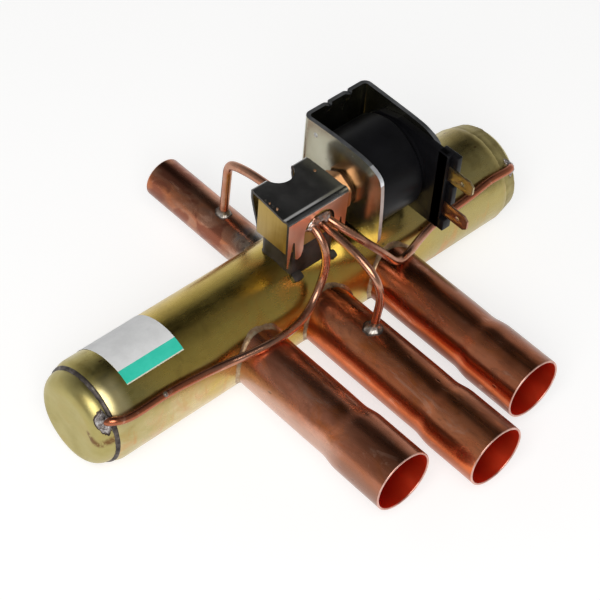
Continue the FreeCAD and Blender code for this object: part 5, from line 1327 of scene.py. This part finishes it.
# ------------------------------------------------------------------------ label
NX, NA = 40, 60
verts, faces = [], []
for layer, base in ((0, 0.02), (1, 0.0)):
    for i in range(NX + 1):
        for j in range(NA + 1):
            x = -84.0 + 24.5 * i / NX
            a = math.radians(-31.1 + 92.9 * j / NA)
            edge = min(i, NX - i) / NX
            lift = 0.05 * max(0, 1 - j / 6) * (0.5 + n3(x * 0.2, 3.1, 1.0)) + 0.03 * max(0, 1 - edge * 8)
            r = BODY_R + (0.02 if layer else 0.10) + lift + 0.012 * n3(x * 0.3, a * 6, 2.0)
            verts.append((x, r * sin(a), r * cos(a)))
M = (NX + 1) * (NA + 1)
for i in range(NX):
    for j in range(NA):
        a = i * (NA + 1) + j
        q = (a, a + 1, a + NA + 2, a + NA + 1)
        faces.append(q)
        faces.append(tuple(M + k for k in reversed(q)))
rim = [i * (NA + 1) for i in range(NX + 1)] + [NX * (NA + 1) + j for j in range(1, NA + 1)] + [i * (NA + 1) + NA for i in range(NX - 1, -1, -1)] + [j for j in range(NA - 1, 0, -1)]
for k in range(len(rim)):
    a, b = rim[k], rim[(k + 1) % len(rim)]
    faces.append((a, b, M + b, M + a))
make("label_film", verts, faces, "label", ROOT, ["label"], angle=50)

# ------------------------------------------------------------- carried-over CAD
CARRY = {
    "valve_seat": "brass_in", "pilot_seat": "brass_in", "piston_left": "brass_in", "piston_right": "brass_in",
    "main_slide": "nylon", "pilot_slide": "nylon", "slide_carrier": "inner", "piston_screws": "steel",
    "piston_seal_left": "seal", "piston_seal_right": "seal", "plunger_tube": "steel", "stop_plug": "steel", "plunger": "steel",
    "coil_winding": "wire",
}
for n, k in CARRY.items():
    o = NODES[n]
    o.data.materials.clear()
    o.data.materials.append(MATS[k])
    for p in o.data.polygons:
        p.use_smooth = True
    for p in o.data.polygons:
        p.material_index = 0
    bm = bmesh.new()
    bm.from_mesh(o.data)
    for e in bm.edges:
        e.smooth = not (len(e.link_faces) == 2 and e.calc_face_angle(0) > math.radians(28)) and len(e.link_faces) == 2
    bm.to_mesh(o.data)
    bm.free()

# ------------------------------------------------------------------------ stage
fm = bpy.data.materials.new("floor_pale")
fm.use_nodes = True
fb = fm.node_tree.nodes["Principled BSDF"]
fb.inputs["Base Color"].default_value = (0.50, 0.50, 0.50, 1)
fb.inputs["Roughness"].default_value = 0.85
fb.inputs["Specular IOR Level"].default_value = 0.05
fb.inputs["Emission Color"].default_value = (1, 1, 1, 1)
fb.inputs["Emission Strength"].default_value = 0.66
me = bpy.data.meshes.new("floor")
Fz, Fr = -BODY_R * MM - 0.00002, 6.0
me.from_pydata([(-Fr, -Fr, Fz), (Fr, -Fr, Fz), (Fr, Fr, Fz), (-Fr, Fr, Fz)], [], [(0, 1, 2, 3)])
me.materials.append(fm)
floor = bpy.data.objects.new("floor", me)
bpy.context.scene.collection.objects.link(floor)

w = bpy.data.worlds.new("studio")
bpy.context.scene.world = w
w.use_nodes = True
wt = w.node_tree
bg = wt.nodes["Background"]
tc = wt.nodes.new("ShaderNodeTexCoord").outputs["Generated"]


def wdot(vec):
    n = wt.nodes.new("ShaderNodeVectorMath")
    n.operation = "DOT_PRODUCT"
    wt.links.new(tc, n.inputs[0])
    n.inputs[1].default_value = vec
    return n.outputs["Value"]


def wrange(v, a, b, c, d):
    n = wt.nodes.new("ShaderNodeMapRange")
    n.interpolation_type = "SMOOTHSTEP"
    wt.links.new(v, n.inputs[0])
    for i, q in enumerate((a, b, c, d)):
        n.inputs[i + 1].default_value = q
    return n.outputs[0]


def wmul(a, b):
    n = wt.nodes.new("ShaderNodeMath")
    n.operation = "MULTIPLY"
    wt.links.new(a, n.inputs[0])
    wt.links.new(b, n.inputs[1])
    return n.outputs[0]


mr = wt.nodes.new("ShaderNodeMapRange")
wt.links.new(wdot((0, 0, 1)), mr.inputs[0])
mr.inputs[1].default_value, mr.inputs[2].default_value = -1.0, 1.0
rp = wt.nodes.new("ShaderNodeValToRGB")
el = rp.color_ramp.elements
stops = [(0.0, 0.95), (0.49, 0.90), (0.53, 0.48), (0.62, 0.40), (0.75, 0.325), (0.90, 0.25), (1.0, 0.165)]
while len(el) < len(stops):
    el.new(0.5)
for k, (p_, c_) in enumerate(stops):
    el[k].position = p_
    el[k].color = (c_, c_, c_, 1)
wt.links.new(mr.outputs[0], rp.inputs[0])
hole1 = wrange(wdot((0.374, 0.416, 0.829)), 0.883, 0.978, 1.0, 0.12)
hole2 = wrange(wdot((0.187, 0.324, 0.927)), 0.50, 0.94, 1.0, 0.50)
side = wrange(wdot((0.574, 0.819, 0.0)), -0.6, 0.9, 0.75, 1.65)
bg_level = wmul(wmul(wmul(rp.outputs[0], hole1), hole2), side)
wt.links.new(bg_level, bg.inputs["Strength"])
bg.inputs["Color"].default_value = (1, 1, 1, 1)


def area(name, loc, target, size, power, color=(1, 1, 1), size_y=None):
    L = bpy.data.lights.new(name, "AREA")
    L.energy = power
    L.color = color
    L.shape = "RECTANGLE"
    L.size = size
    L.size_y = size_y or size
    ob = bpy.data.objects.new(name, L)
    bpy.context.scene.collection.objects.link(ob)
    ob.location = loc
    d = Vector(target) - Vector(loc)
    ob.rotation_mode = "QUATERNION"
    ob.rotation_quaternion = d.to_track_quat("-Z", "Y")
    return ob


area("key_front", (-0.70, -0.59, 0.92), (0, 0, 0), 0.85, 12.0, (1.0, 0.985, 0.96), 0.85)

# ------------------------------------------------------------------------ camera
cam_d = bpy.data.cameras.new("camera")
cam = bpy.data.objects.new("camera", cam_d)
bpy.context.scene.collection.objects.link(cam)
cam.location = (-0.38434656, -0.36964562, 0.56538558)
Rm = Matrix(((0.73457557, 0.46492399, -0.49421091), (-0.67558792, 0.56886602, -0.46901216), (0.06308479, 0.6784078, 0.73197211)))
cam.rotation_mode = "QUATERNION"
cam.rotation_quaternion = Rm.to_quaternion()
cam_d.sensor_width = 36.0
cam_d.lens = 130.540
cam_d.clip_start, cam_d.clip_end = 0.01, 50
cam_d.dof.use_dof = False
bpy.context.scene.camera = cam
bpy.context.scene.view_settings.view_transform = "Standard"
